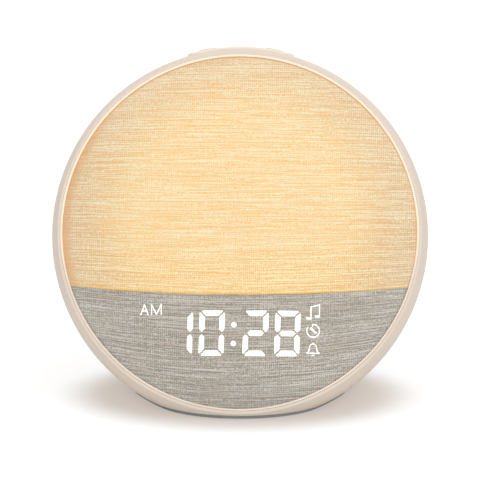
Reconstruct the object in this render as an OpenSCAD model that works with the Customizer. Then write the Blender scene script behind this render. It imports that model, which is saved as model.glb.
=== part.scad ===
// Sunrise alarm clock: a round, fabric-fronted lamp with a clock display, a speaker and top keys.
// Millimetres. +Z is up, the face looks along -Y and leans back by the tilt.
// The origin is the middle of the bounding box at the level of the table.
// Face frame (see on_face): X to the right, Y up the face, Z out of the face; the rim is at Z = 0.

/* [Body] */
// Largest diameter of the housing
body_d = 165; // [160:0.5:175]
// Depth from the rim to the flat back
body_depth = 62; // [60:0.5:68]
// Radius of the rounded rear edge
rear_round = 32; // [28:0.5:34]
// Depth over which the front edge flares out
flare_depth = 15; // [13:0.5:18]
// Wall thickness of the housing and the rear cover
wall = 2.2; // [1.8:0.1:2.6]
// Backward lean of the face in degrees
tilt = 22; // [20:0.5:24]
// Depth by which the table cuts into the round body
base_cut = 13.8; // [13.2:0.05:14.2]

/* [Front] */
// Width of the rim around the fabric, bezel included
rim_w = 5.9; // [5.4:0.1:6.4]
// How far the dome stands out of the rim plane
dome_height = 17; // [14:0.5:19]
// Thickness of the fabric
fabric_t = 0.5; // [0.4:0.05:0.8]
// Width of the bezel ring seen from the front
bezel_w = 0.9; // [0.7:0.05:1.2]
// How far the bezel ring stands out of the rim plane
bezel_proud = 0.5; // [0.2:0.1:1]
// Depth of the bezel ring behind the rim
bezel_l = 3; // [2:0.1:4]
// Width of the housing's flat lip around the bezel ring
lip_w = 1.3; // [1:0.1:2]
// Depth from the rim to the seat of the front frame
seat_depth = 6.5; // [6:0.1:7]
// Thickness of the front frame's ring
frame_t = 4; // [3.5:0.1:4.5]
// Width of the front frame's ring
frame_w = 12.2; // [11:0.1:13]
// Wall thickness of the diffuser and the display panel
dome_wall = 1.8; // [1.4:0.1:2.2]
// Drop of the line between lamp and display below the centre of the face
seam_drop = 20.9; // [19:0.1:22]
// Thickness of the divider between lamp and display
divider_t = 1.6; // [1.2:0.1:2]

/* [Lamp] */
// Depth from the rim to the front of the light board
light_board_depth = 22.4; // [20:0.2:24]
// Width of the reflector's slope around the light board
slope_w = 19.5; // [18:0.5:22]
// Thickness of every circuit board
board_t = 1.6; // [1.2:0.1:2]
// Side of a light emitter
emitter_w = 3; // [2.5:0.1:3.5]

/* [Display] */
// Height of a digit as a share of the fabric's diameter
digit_share = 0.124; // [0.116:0.001:0.128]
// Slant of the digits in degrees
digit_slant = 2; // [0:0.5:5]
// Room between the digits and the front frame
display_margin = 2.3; // [1.8:0.1:2.8]
// Depth from the rim to the front of the display board
display_board_depth = 4.5; // [4.2:0.1:5]
// Clearance around each light pipe
pipe_gap = 0.06; // [0.04:0.01:0.1]

/* [Keys] */
// Width of the key deck across the top
deck_w = 43; // [42:0.5:48]
// Depth from the rim to the front of the deck
deck_front = 6; // [5:0.5:8]
// How far the deck stands above the housing
deck_rise = 0.9; // [0.6:0.1:1.4]
// Depth of the pocket that holds the deck
deck_recess = 1; // [0.6:0.1:1.2]
// How far a key stands above the deck
key_proud = 0.5; // [0.3:0.1:1]
// Radius of the large centre key
main_key_r = 8.6; // [8:0.1:9]
// Radius of a small key
small_key_r = 4.2; // [3.6:0.1:4.4]
// Distance of the small keys from the middle, sideways
key_side = 15; // [14.6:0.1:15.4]
// Travel of a key
key_travel = 0.5; // [0.3:0.1:0.6]
// Side clearance of a key in its hole
key_gap = 0.2; // [0.15:0.05:0.3]

/* [Back] */
// Distance of the rear cover's edge from the rounded edge
cover_inset = 0.6; // [0.4:0.1:1.5]
// Depth of the speaker gasket
gasket_t = 2.6; // [2.4:0.1:3]
// Radius of a grille hole
grille_hole_r = 1.2; // [0.8:0.1:1.4]
// Length of the posts that carry the main board
board_post_l = 8.2; // [7.6:0.2:8.6]

/* [Foot] */
// Thickness of the rubber foot pad
foot_t = 1.9; // [1.5:0.1:2.1]
// Distance of the pad's edge from the edge of the flat base
foot_inset = 1.1; // [0.3:0.1:1.5]

/* [Hidden] */
$fn = 120;

// Clearances
fit = 0.05;        // between pieces that seat in each other
over = 1;          // by which a cutting shape runs past a surface
reach = 200;       // longer than anything in the clock

// Body
body_r = body_d / 2;
fabric_r = body_r - rim_w;
bezel_r = fabric_r + fit + bezel_w;
lip_r = bezel_r + fit + lip_w;
side_end = body_depth - rear_round;
flare_r = (pow(flare_depth, 2) + pow(body_r - lip_r, 2)) / (2 * (body_r - lip_r));
dome_r = (pow(fabric_r, 2) + pow(dome_height, 2)) / (2 * dome_height);
inner_back = body_depth - wall;
front_most = max(bezel_r * sin(tilt) + bezel_proud * cos(tilt), dome_r - (dome_r - dome_height) * cos(tilt));
back_most = (body_r - rear_round) * sin(tilt) + side_end * cos(tilt) + rear_round;
face_y = (front_most - back_most) / 2;
body_bottom = (body_r - rear_round) * cos(tilt) + side_end * sin(tilt) + rear_round;
face_height = body_bottom - base_cut;
// the pad's outline: the housing's own section where the two meet, from the front end to the back end
pad_steps = 60;
pad_drop = face_height - foot_t;
flare_off = pad_drop - (body_r - flare_r) * cos(tilt) - flare_depth * sin(tilt);
round_off = pad_drop - (body_r - rear_round) * cos(tilt) - side_end * sin(tilt);
pad_front = flare_depth * cos(tilt) - (body_r - flare_r) * sin(tilt)
    - sqrt(pow(flare_r - foot_inset, 2) - pow(flare_off, 2));
pad_back = side_end * cos(tilt) - (body_r - rear_round) * sin(tilt)
    + sqrt(pow(rear_round - foot_inset, 2) - pow(round_off, 2));

// Front
flange_t = 2.5;
frame_inner_r = fabric_r - frame_w;
flange_r = frame_inner_r + 5.5;
flange_back = seat_depth + flange_t;
frame_front = seat_depth - frame_t;
seam_z = face_height - seam_drop;
frame_screw_r = fabric_r - 3.7;
frame_screw_angles = [40, 140, 220, 320];
frame_boss_r = 3;
frame_boss_l = 8;
frame_screw_l = 9;
frame_head_sink = 2;

// Lamp
reflector_t = 1.4;
light_board_r = frame_inner_r - slope_w;
reflector_lip_r = flange_r - 0.4;
reflector_back = light_board_depth + board_t;
reflector_screw_r = frame_inner_r + 2.5;
reflector_screw_angles = [35, 90, 145];
emitter_h = 0.8;
emitter_pitch = (light_board_r - 2 * emitter_w) / 3;
emitter_middle_y = 0.18 * light_board_r;
light_board_y = seam_low_y(light_board_depth);
light_plug_y = light_board_y + 5;

// Display, in shares of a digit's height
digit_h = digit_share * 2 * fabric_r;
digit_w = 0.569 * digit_h;
digit_pitch = 0.711 * digit_h;
segment_w = 0.123 * digit_h;
segment_gap = 0.024 * digit_h;
corner_cut = 0.065 * digit_h;
colon_x = -0.113 * digit_h;
colon_r = 0.061 * digit_h;
colon_gap = 0.41 * digit_h;
colon_drop = 0.022 * digit_h;
colon_side = 0.491 * digit_h;
// Middles of the four digits across the face
digit_xs = [
    colon_x - colon_side - digit_pitch, colon_x - colon_side,
    colon_x + colon_side, colon_x + colon_side + digit_pitch
];
digits_left = digit_w / 2 - digit_xs[0];
display_y = display_margin + digit_h / 2 - sqrt(pow(frame_inner_r, 2) - pow(digits_left, 2));
symbol_size = 0.308 * digit_h;
symbol_pitch = 0.399 * digit_h;
symbol_x = digit_xs[3] + 0.577 * digit_h;
symbols_y = display_y + 0.067 * digit_h;
stroke_w = 0.026 * digit_h;
letter_h = 0.216 * digit_h;
letters_x = digit_xs[0] - 0.667 * digit_h;
letter_rows = [display_y + 0.528 * digit_h, display_y + 0.14 * digit_h];
bridge_w = 0.018 * digit_h;   // web that holds the inside of a letter in the panel
panel_inset = fabric_t + fit;
display_board_back = display_board_depth + board_t;
display_board_r = frame_inner_r - 0.4;
display_board_top = display_y + 0.707 * digit_h;
display_lug_r = frame_inner_r - 3.5;
display_lug_w = 6;
lug_boss_r = 2.4;
lug_boss_l = 5.2;
cap_t = 0.7;       // what is left over the end of a blind hole
display_lug_angles = [215, 270, 325];
block_inset = panel_inset + dome_wall + fit;
pipe_depth = display_board_depth - 1.2;
driver_size = [9, 7, 1.1];
chip_emitter_l = 1;
chip_emitter_w = 0.6;
chip_emitter_h = 0.7;
// Outlines of a top segment, of an upper right one and of the middle one, around the digit's
// middle; the digit's outer corners are cut off
end_x = digit_w / 2 - corner_cut / 2;
end_y = digit_h / 2 - corner_cut / 2;
top_bar = [
    [end_x - segment_gap / 2, end_y + segment_gap / 2],
    [digit_w / 2 - corner_cut, digit_h / 2],
    [corner_cut - digit_w / 2, digit_h / 2],
    [segment_gap / 2 - end_x, end_y + segment_gap / 2],
    [-digit_w / 2 + segment_w + segment_gap, digit_h / 2 - segment_w],
    [digit_w / 2 - segment_w - segment_gap, digit_h / 2 - segment_w]
];
side_bar = [
    [digit_w / 2, segment_w / 2 + segment_gap],
    [digit_w / 2, digit_h / 2 - corner_cut],
    [end_x + segment_gap / 2, end_y - segment_gap / 2],
    [digit_w / 2 - segment_w, digit_h / 2 - segment_w - segment_gap],
    [digit_w / 2 - segment_w, segment_w / 2 + segment_gap],
    [digit_w / 2 - segment_w / 2, segment_gap]
];
bar_end = digit_w / 2 - segment_w / 2 - segment_gap * 1.5;
middle_bar = [
    [-bar_end, 0], [segment_w / 2 - bar_end, segment_w / 2], [bar_end - segment_w / 2, segment_w / 2],
    [bar_end, 0], [bar_end - segment_w / 2, -segment_w / 2], [segment_w / 2 - bar_end, -segment_w / 2]
];
// The seven segments, in the order of the list of lit ones
segments = [
    top_bar, side_bar, mirrored(side_bar, 1, -1), mirrored(top_bar, 1, -1),
    mirrored(side_bar, -1, -1), mirrored(side_bar, -1, 1), middle_bar
];
// Lit segments of each digit, in the order top, upper right, lower right, bottom, lower left,
// upper left, middle: they show a plain time
shown = [
    [0, 1, 1, 0, 0, 0, 0],
    [1, 1, 1, 1, 1, 1, 0],
    [1, 1, 0, 1, 1, 0, 1],
    [1, 1, 1, 1, 1, 1, 1]
];

// Keys
deck_past = 9;      // by which the deck runs over the rounded rear edge
deck_l = side_end + deck_past - deck_front;
deck_mid = deck_front + deck_l / 2;
key_edge = 4.1;     // from a small key to the end of the deck
key_front = deck_l / 2 - small_key_r - key_edge;
deck_corner = 6;
deck_top_y = body_r + deck_rise;
switch_board_drop = 14.6;
switch_board_y = body_r - switch_board_drop;
switch_board_w = 58;
switch_board_l = 24;
switch_h = 3.5;
switch_w = 6;
plunger_r = 1.75;
plunger_rise = 1.1;
plunger_root = 0.4;
plunger_top = switch_board_y + switch_h + plunger_rise;
key_flange_t = 1.2;
key_flange_w = 0.9;
key_stem_r = 1.8;
mark_depth = 0.3;
mark_l = 3.2;
mark_w = 0.6;
post_x = switch_board_w / 2 - 3.6;
post_z = switch_board_l / 2 - 3.4;
post_r = 2.6;
// Each key: name, sideways place, place towards the back, radius
keys = [
    ["snooze", 0, 0, main_key_r],
    ["plus", key_side, -key_front, small_key_r],
    ["minus", -key_side, -key_front, small_key_r],
    ["light", key_side, key_front, small_key_r],
    ["sound", -key_side, key_front, small_key_r]
];

// Screws
pilot_r = 1.25;
small_pilot_r = 0.95;
hole_r = 1.6;
small_hole_r = 1.2;
head_r = 2.5;
head_h = 1.6;
rear_head_r = 2.8;
rear_head_h = 1.2;
small_head_r = 1.9;
small_head_h = 1.2;
head_seat = 1.3;
rear_screw_l = 8;
board_screw_l = 6;
plate_screw_l = 4;
lug_screw_l = 5;

// Back
cover_r = body_r - rear_round - cover_inset;
cover_opening_r = cover_r - 2.5;
lug_r = 3.4;
lug_ring_r = cover_opening_r - 2;
lug_angles = [45, 135, 225, 315];
lug_l = 12;
post_foot_r = 2.6;

// Main board, in shares of the rear cover's radius
main_board_w = 1.08 * cover_r;
main_board_h = 0.52 * cover_r;
main_board_y = -0.5 * cover_r;
main_board_depth = inner_back - board_post_l - board_t;
board_hole_x = main_board_w / 2 - 4;
board_hole_y = main_board_h / 2 - 3;
main_plug_y = main_board_y + 0.4 * main_board_h;
plug_l = 2.2;
plug_w = 2.8;
plug_side = 1;
light_plug_back = reflector_back + plug_l + 1;
display_ribbon_w = 10;
narrow_ribbon_w = 5;
speaker_plug_w = 3.6;
display_ribbon_y = main_board_y - 0.346 * main_board_h;
light_ribbon_x = 0.305 * main_board_w;
key_ribbon_x = -0.305 * main_board_w;
key_ribbon_depth = deck_mid + 8.5;
ribbon_t = 0.4;
ribbon_lead = 6;
key_ribbon_turn = 10.6;
processor_size = [7, 7, 1.4];
amplifier_size = [5, 4, 1.2];
coil_size = [5, 5, 2.4];
cell_x = 0.213 * main_board_w;
cell_y = main_board_y;
cell_r = 6.25;
cell_t = 2;
cell_wall = 1.2;
cell_floor = 0.6;
socket_y = main_board_y - 2;
socket_w = 8.9;
socket_h = 3.3;
socket_shell = 0.3;
socket_recess = 0.8;
reset_hole_r = 0.6;

// Speaker
speaker_r = 0.52 * cover_r;
speaker_y = 0.28 * cover_r;
speaker_depth = inner_back - gasket_t;
ear_ring_r = speaker_r + 2.6;
ear_r = 2.6;
basket_t = 0.8;
surround_r = speaker_r - 3.4;
cone_outer_r = surround_r - 3.2;
magnet_r = speaker_r - 11;
coil_r = 0.23 * speaker_r;
coil_t = 0.4;
coil_l = 5.8;
basket_back = speaker_depth - 7.7;
magnet_t = 6;
yoke_t = 1.5;
magnet_front = basket_back - basket_t - magnet_t;
cone_back = basket_back + 2.2;
cone_t = 0.6;
gasket_inner_r = speaker_r - 2.4;
surround_t = 0.35;
grille_pitch = surround_r / 5;
wire_r = 0.55;
wire_side = 1.4;
wire_root_depth = basket_back + 1.8;

// Height on the face of the divider's top at a depth behind the rim
function seam_y(depth) = (depth * sin(tilt) - seam_drop) / cos(tilt);
// Height on the face of a line just above the divider, for parts of the lamp
function seam_low_y(depth) = seam_y(depth) + 1.2;
function turned(radius, angle) = [radius * cos(angle), radius * sin(angle)];
function unit(v) = v / norm(v);
// Height of the inner face of the housing's side wall at a distance from its middle
function inner_wall_y(x) = sqrt(pow(body_r - wall, 2) - x * x);

// ---------------------------------------------------------------- frames and shared shapes

// Places what is drawn in the face frame
module on_face() {
    translate([0, face_y, face_height]) rotate([90 - tilt, 0, 0]) children();
}

// Places a disc-like shape at a point of the face, at a depth behind the rim, pointing outward
module at_depth(depth, point = [0, 0]) {
    translate([point[0], point[1], -depth]) children();
}

// Places what points along +Z so that it points up the face, on top of the body
module on_top(x = 0, back = 0, height = 0) {
    translate([x, height, -deck_mid - back]) rotate([-90, 0, 0]) children();
}

// A rectangle between two corners
module square_from(x0, x1, y0, y1) {
    translate([x0, y0]) square([x1 - x0, y1 - y0]);
}

// Half section of the housing's outside, moved inward by inset
module body_section(inset = 0) {
    flare_x = body_r - flare_r;
    rear_x = body_r - rear_round;
    intersection() {
        translate([flare_x, -flare_depth]) circle(flare_r - inset, $fn = 360);
        square_from(flare_x, reach, -flare_depth, 0);
    }
    square_from(0, flare_x, -flare_depth, 0);
    square_from(0, body_r - inset, -side_end, -flare_depth);
    intersection() {
        translate([rear_x, -side_end]) circle(rear_round - inset, $fn = 360);
        square_from(rear_x, reach, -reach, -side_end);
    }
    square_from(0, rear_x, inset - body_depth, -side_end);
}

// Half section of the dome, moved inward by inset, with its skirt down to a depth
module dome_section(inset, depth) {
    intersection() {
        translate([0, dome_height - dome_r]) circle(dome_r - inset, $fn = 720);
        translate([0, -depth]) square([fabric_r - inset, depth + dome_height]);
    }
}

module dome_solid(inset, depth) {
    rotate_extrude() dome_section(inset, depth);
}

module dome_shell(inset, thickness, depth) {
    rotate_extrude() difference() {
        dome_section(inset, depth);
        dome_section(inset + thickness, depth + over);
    }
}

module ring(outer, inner, depth, thickness) {
    at_depth(depth + thickness) difference() {
        cylinder(r = outer, h = thickness);
        translate([0, 0, -over]) cylinder(r = inner, h = thickness + 2 * over);
    }
}

// Everything above a height of the world, for shapes in the world frame
module above(height) {
    translate([-reach / 2, -reach / 2, height]) cube(reach);
}

// A round-cornered rectangle, centred
module rounded_rect(width, length, corner) {
    square([width - 2 * corner, length], center = true);
    square([width, length - 2 * corner], center = true);
    for (sx = [-1, 1], sy = [-1, 1])
        translate([sx * (width / 2 - corner), sy * (length / 2 - corner)]) circle(corner, $fn = 48);
}

// A screw that points along -Z, with its head above Z = 0 and a cross recess
module screw(shank_r, length, head_r, head_h) {
    slot_w = head_r * 0.3;
    difference() {
        cylinder(r = head_r, h = head_h, $fn = 48);
        for (turn = [0, 90])
            rotate(turn) translate([-head_r * 0.6, -slot_w / 2, head_h * 0.4])
                cube([head_r * 1.2, slot_w, head_h]);
    }
    translate([0, 0, -length]) cylinder(r = shank_r, h = length + head_h / 4, $fn = 48);
}

// A board with holes, front face at a depth
module board_plate(depth) {
    at_depth(depth + board_t) linear_extrude(board_t) children();
}

// ---------------------------------------------------------------- housing

// Outline of the deck seen along its keys, grown by a clearance
module deck_outline(grow = 0) {
    rounded_rect(deck_w + 2 * deck_slope_w() + 2 * grow, deck_l + 2 * grow, deck_corner + grow);
}

function deck_slope_w() = deck_recess + deck_rise;

// A roof over the deck with sides that slope at 45 degrees
module deck_roof(grow = 0) {
    half = deck_w / 2;
    top = deck_top_y + over;
    low = inner_wall_y(half) - 8;
    translate([0, 0, -deck_mid - deck_l]) linear_extrude(2 * deck_l) polygon([
        [-half - (top - low) - grow, low], [half + (top - low) + grow, low],
        [half - over + deck_edge_drop() + grow, top], [-half + over - deck_edge_drop() - grow, top]
    ]);
}

// Fall of the deck's surface from its middle to its ends
function deck_edge_drop() = body_r - sqrt(pow(body_r, 2) - pow(deck_w / 2, 2));

module key_holes(grow) {
    for (key = keys)
        on_top(key[1], key[2]) cylinder(r = key[3] + grow, h = reach, $fn = 96);
}

module switch_posts() {
    for (sx = [-1, 1], sz = [-1, 1])
        on_top(sx * post_x, sz * post_z, switch_board_y)
            cylinder(r = post_r, h = inner_wall_y(post_x) + wall / 2 - switch_board_y, $fn = 48);
}

module main_housing() {
    color("#e3d3c3") difference() {
        union() {
            difference() {
                intersection() {
                    on_face() rotate_extrude($fn = 240) body_section();
                    above(foot_t);
                }
                // the cavity, which leaves a flat floor
                intersection() {
                    on_face() rotate_extrude($fn = 240) intersection() {
                        body_section(wall);
                        square_from(0, body_r, -inner_back, -flange_back);
                    }
                    above(foot_t + wall);
                }
                // the seats of the bezel and the fabric, the flange's opening and the seat of the cover
                on_face() {
                    at_depth(bezel_l) cylinder(r = bezel_r + fit, h = reach, $fn = 240);
                    at_depth(seat_depth) cylinder(r = fabric_r + fit, h = reach, $fn = 240);
                    at_depth(flange_back + over) cylinder(r = flange_r, h = reach, $fn = 240);
                    at_depth(body_depth + over) cylinder(r = cover_r + fit, h = wall + over, $fn = 240);
                }
            }
            on_face() {
                // rear flange with its screw lugs
                ring(cover_r + 3, cover_opening_r, inner_back - wall, wall);
                for (angle = lug_angles)
                    at_depth(inner_back, turned(lug_ring_r, angle)) cylinder(r = lug_r, h = lug_l, $fn = 48);
                // bosses behind the front seat
                for (angle = frame_screw_angles)
                    at_depth(flange_back + frame_boss_l, turned(frame_screw_r, angle))
                        cylinder(r = frame_boss_r, h = frame_boss_l + flange_t / 2, $fn = 48);
                switch_posts();
            }
        }
        on_face() {
            // pocket and key holes on top
            intersection() {
                difference() {
                    on_top() linear_extrude(reach) deck_outline(fit);
                    rotate_extrude($fn = 240) body_section(deck_recess + fit);
                }
                deck_roof(fit);
            }
            key_holes(key_gap);
            // pilot holes
            for (angle = lug_angles)
                at_depth(inner_back + over, turned(lug_ring_r, angle))
                    cylinder(r = pilot_r, h = rear_screw_l + 2 * over, $fn = 48);
            for (angle = frame_screw_angles)
                at_depth(seat_depth + frame_screw_l, turned(frame_screw_r, angle))
                    cylinder(r = pilot_r, h = frame_screw_l + over, $fn = 48);
            for (sx = [-1, 1], sz = [-1, 1])
                on_top(sx * post_x, sz * post_z, switch_board_y - over)
                    cylinder(r = small_pilot_r, h = board_screw_l + over, $fn = 48);
        }
    }
}

// Radius of the pad's side surface at a depth, which follows the housing's outside
function pad_r(depth) = depth < flare_depth
    ? body_r - flare_r + sqrt(pow(flare_r - foot_inset, 2) - pow(flare_depth - depth, 2))
    : depth < side_end ? body_r - foot_inset
    : body_r - rear_round + sqrt(max(0, pow(rear_round - foot_inset, 2) - pow(depth - side_end, 2)));

// Half width of the pad at a distance behind the face's middle, in the plane where it meets the housing
function pad_half(y) = sqrt(max(0,
    pow(pad_r(y * cos(tilt) + pad_drop * sin(tilt)), 2) - pow(pad_drop * cos(tilt) - y * sin(tilt), 2)));

function pad_y(step) = (pad_back + pad_front - (pad_back - pad_front) * cos(180 * step / pad_steps)) / 2;

module foot_pad() {
    color("#7b8188") translate([0, face_y]) linear_extrude(foot_t) polygon(concat(
        [for (step = [0:pad_steps]) [pad_half(pad_y(step)), pad_y(step)]],
        [for (step = [1:pad_steps - 1]) [-pad_half(pad_y(pad_steps - step)), pad_y(pad_steps - step)]]
    ));
}

// ---------------------------------------------------------------- rear cover

module grille_holes() {
    for (k = [0:4]) {
        count = max(1, 6 * k);
        for (i = [0:count - 1])
            translate(turned(k * grille_pitch, 360 * i / count)) circle(grille_hole_r, $fn = 32);
    }
}

module board_hole_places() {
    for (sx = [-1, 1], sy = [-1, 1])
        translate([sx * board_hole_x, main_board_y + sy * board_hole_y]) children();
}

module ear_places() {
    for (angle = lug_angles)
        translate([0, speaker_y]) translate(turned(ear_ring_r, angle)) children();
}

module rear_cover() {
    color("#e3d3c3") on_face() difference() {
        union() {
            at_depth(body_depth) cylinder(r = cover_r, h = wall, $fn = 240);
            at_depth(inner_back) board_hole_places() cylinder(r = post_foot_r, h = board_post_l, $fn = 48);
            at_depth(inner_back) ear_places() cylinder(r = ear_r, h = gasket_t, $fn = 48);
        }
        // screw holes with seats for the heads
        for (angle = lug_angles)
            at_depth(body_depth + over, turned(lug_ring_r, angle)) {
                cylinder(r = hole_r, h = wall + 2 * over, $fn = 48);
                cylinder(r = rear_head_r + 0.3, h = head_seat + over, $fn = 48);
            }
        at_depth(body_depth + over) {
            // speaker grille
            linear_extrude(wall + 2 * over) translate([0, speaker_y]) grille_holes();
            // power socket with its recess, and the reset hole
            translate([0, socket_y]) {
                linear_extrude(wall + 2 * over)
                    rounded_rect(socket_w + 0.3, socket_h + 0.3, socket_h / 2);
                linear_extrude(socket_recess + over) rounded_rect(socket_w + 5, socket_h + 4, 2);
                translate([socket_w + 3, 0]) cylinder(r = reset_hole_r, h = wall + 2 * over, $fn = 32);
            }
        }
        // pilot holes
        at_depth(inner_back) board_hole_places() translate([0, 0, board_post_l - board_screw_l])
            cylinder(r = small_pilot_r, h = board_screw_l + over, $fn = 48);
        at_depth(inner_back + over) ear_places() cylinder(r = small_pilot_r, h = gasket_t + 2 * over, $fn = 48);
    }
}

// ---------------------------------------------------------------- front

module bezel_ring() {
    color("#f4e9da") on_face() rotate_extrude($fn = 240) polygon([
        [fabric_r + fit, -bezel_l], [bezel_r, -bezel_l],
        [bezel_r, bezel_proud - bezel_w / 3], [bezel_r - bezel_w / 3, bezel_proud],
        [fabric_r + fit + bezel_w / 3, bezel_proud], [fabric_r + fit, bezel_proud - bezel_w / 3]
    ]);
}

module fabric_cover() {
    color("#e9c58f") on_face() dome_shell(0, fabric_t, seat_depth);
}

module light_diffuser() {
    color("#f6efe2") intersection() {
        on_face() dome_shell(panel_inset, dome_wall, frame_front);
        above(seam_z);
    }
}

module display_panel() {
    color("#8b8880") difference() {
        on_face() dome_shell(panel_inset, dome_wall, frame_front);
        above(seam_z - divider_t);
        on_face() linear_extrude(reach) all_shapes(pipe_gap);
    }
}

module divider_space() {
    dome_solid(panel_inset, frame_front);
    at_depth(reflector_back + reflector_t) cylinder(r = frame_inner_r + over, h = reflector_back);
}

module front_frame() {
    color("#f2f0ea") difference() {
        union() {
            on_face() ring(fabric_r - panel_inset, frame_inner_r, frame_front, frame_t);
            intersection() {
                on_face() divider_space();
                difference() {
                    above(seam_z - divider_t);
                    above(seam_z);
                }
            }
            on_face() display_lugs();
        }
        on_face() {
            for (angle = frame_screw_angles) {
                at_depth(seat_depth + over, turned(frame_screw_r, angle))
                    cylinder(r = hole_r, h = frame_t + 2 * over, $fn = 48);
                at_depth(frame_front + frame_head_sink, turned(frame_screw_r, angle))
                    cylinder(r = head_r + 0.3, h = frame_head_sink + over, $fn = 48);
            }
            for (angle = reflector_screw_angles)
                at_depth(seat_depth + over, turned(reflector_screw_r, angle))
                    cylinder(r = small_pilot_r, h = frame_t - cap_t + over, $fn = 48);
            for (angle = display_lug_angles)
                at_depth(display_board_depth + over, turned(display_lug_r, angle))
                    cylinder(r = small_pilot_r, h = lug_boss_l - cap_t + over, $fn = 48);
        }
    }
}

// Lugs that carry the display board, each with a boss
module display_lugs() {
    for (angle = display_lug_angles) {
        rotate(angle) translate([display_lug_r - display_lug_w / 2, -display_lug_w / 2, -display_board_depth])
            cube([
                frame_inner_r + over - display_lug_r + display_lug_w / 2,
                display_lug_w, display_board_depth - frame_front
            ]);
        at_depth(display_board_depth, turned(display_lug_r, angle)) cylinder(r = lug_boss_r, h = lug_boss_l, $fn = 48);
    }
}

module reflector() {
    back_r = light_board_r + 1;
    color("#fbfaf6") difference() {
        intersection() {
            on_face() rotate_extrude($fn = 240) polygon([
                [frame_inner_r - 1, -seat_depth], [reflector_lip_r, -seat_depth],
                [reflector_lip_r, -seat_depth - reflector_t], [frame_inner_r, -seat_depth - reflector_t],
                [back_r + reflector_t, -reflector_back - reflector_t], [0, -reflector_back - reflector_t],
                [0, -reflector_back], [back_r, -reflector_back]
            ]);
            above(seam_z + fit);
        }
        on_face() {
            for (angle = reflector_screw_angles)
                at_depth(seat_depth + 2 * reflector_t, turned(reflector_screw_r, angle))
                    cylinder(r = small_hole_r, h = 4 * reflector_t, $fn = 48);
            // way for the ribbon's plug
            translate([light_ribbon_x, light_plug_y, -reflector_back - 2 * reflector_t])
                linear_extrude(4 * reflector_t)
                    square([narrow_ribbon_w + 2 * plug_side + 1, plug_w + 0.6], center = true);
        }
    }
}

// ---------------------------------------------------------------- lamp

module light_board() {
    color("#f5f5f2") on_face() board_plate(light_board_depth) intersection() {
        circle(light_board_r);
        translate([-reach / 2, light_board_y]) square(reach);
    }
}

module light_emitters() {
    color("#ffe0a0") on_face() at_depth(light_board_depth)
        for (k = [0:3]) {
            count = max(1, 6 * k);
            for (i = [0:count - 1]) {
                place = turned(k * emitter_pitch, 360 * (i + 0.5) / count) + [0, emitter_middle_y];
                if (place[1] > light_board_y + emitter_w && norm(place) < light_board_r - emitter_w)
                    translate([place[0] - emitter_w / 2, place[1] - emitter_w / 2, 0])
                        cube([emitter_w, emitter_w, emitter_h]);
            }
        }
}

// ---------------------------------------------------------------- display shapes

function slanted(points) = [for (p = points) [p[0] + p[1] * tan(digit_slant), p[1]]];
function mirrored(points, sx, sy) = [for (p = points) [p[0] * sx, p[1] * sy]];
function crossed(a, b) = a[0] * b[1] - a[1] * b[0];
function next_of(points, i) = points[(i + 1) % len(points)];

// Which way round an outline runs: 1 where it is anticlockwise, -1 where it is clockwise
function way_round(points) =
    sign([for (i = [0:len(points) - 1]) crossed(points[i], next_of(points, i))] * [for (p = points) 1]);

// An outline moved outward by an amount on every side
function grown(points, amount) =
    let (last = len(points) - 1, way = way_round(points))
    [for (i = [0:last])
        let (before = unit(points[i] - points[(i + last) % (last + 1)]),
             after = unit(next_of(points, i) - points[i]),
             out = [before[1] + after[1], -before[0] - after[0]] / (1 + before * after))
        points[i] + way * amount * out];

function middle_of(points) = [for (axis = [0, 1])
    (min([for (p = points) p[axis]]) + max([for (p = points) p[axis]])) / 2];

module digit_segments(lit, grow) {
    for (d = [0:3], k = [0:6])
        if (shown[d][k] == lit)
            translate([digit_xs[d], display_y]) polygon(grown(slanted(segments[k]), grow));
}

module colon(grow) {
    for (side = [-1, 1])
        translate([colon_x, display_y - colon_drop] + slanted([[0, side * colon_gap / 2]])[0])
            circle(colon_r + grow, $fn = 48);
}

// A straight line with square ends
module stroke(from, to, width) {
    along = to - from;
    translate(from) rotate(atan2(along[1], along[0])) translate([-width / 2, -width / 2]) square([norm(along) + width, width]);
}

// Points along a part of a circle, from one angle over a sweep
function arc(radius, from, sweep) =
    let (steps = ceil(abs(sweep) / 15)) [for (i = [0:steps]) turned(radius, from + sweep * i / steps)];

// A line of a width along a part of a circle
module bow(radius, from, sweep, width) {
    polygon(concat(arc(radius + width / 2, from, sweep), arc(radius - width / 2, from + sweep, -sweep)));
}

module letter_a(w) {
    half = letter_h * 0.371;
    bar_y = letter_h * 0.36;
    bar_right = half * 0.64 - w / 2 - bridge_w - 0.6 * stroke_w;
    stroke([-half, 0], [0, letter_h], w);
    stroke([half, 0], [0, letter_h], w);
    stroke([-half * 0.6, bar_y], [bar_right, bar_y], w);
}

// One outline, whose bowl stays open by the web that holds its inside
module letter_p(w) {
    stem_x = -0.3 * letter_h;
    bowl = 0.26 * letter_h;
    middle = [0.12 * letter_h, letter_h - bowl];
    bowl_end = stem_x + stroke_w + bridge_w - w / 2;
    low = letter_h - 2 * bowl;
    polygon(concat(
        [[stem_x - w / 2, -w / 2], [stem_x - w / 2, letter_h + w / 2]],
        [for (p = arc(bowl + w / 2, 90, -180)) middle + p],
        [[bowl_end, low - w / 2], [bowl_end, low + w / 2]],
        [for (p = arc(bowl - w / 2, -90, 180)) middle + p],
        [[stem_x + w / 2, letter_h - w / 2], [stem_x + w / 2, -w / 2]]
    ));
}

module letter_m(w) {
    half = letter_h * 0.507;
    stroke([-half, 0], [-half, letter_h], w);
    stroke([half, 0], [half, letter_h], w);
    stroke([-half, letter_h], [0, 0], w);
    stroke([half, letter_h], [0, 0], w);
}

// The half-day letters of one row
module half_day(row, grow) {
    w = stroke_w + 2 * grow;
    translate([letters_x, letter_rows[row] - letter_h / 2]) {
        translate([-letter_h * 0.629, 0]) if (row == 0) letter_a(w); else letter_p(w);
        translate([letter_h * 0.629, 0]) letter_m(w);
    }
}

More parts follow.
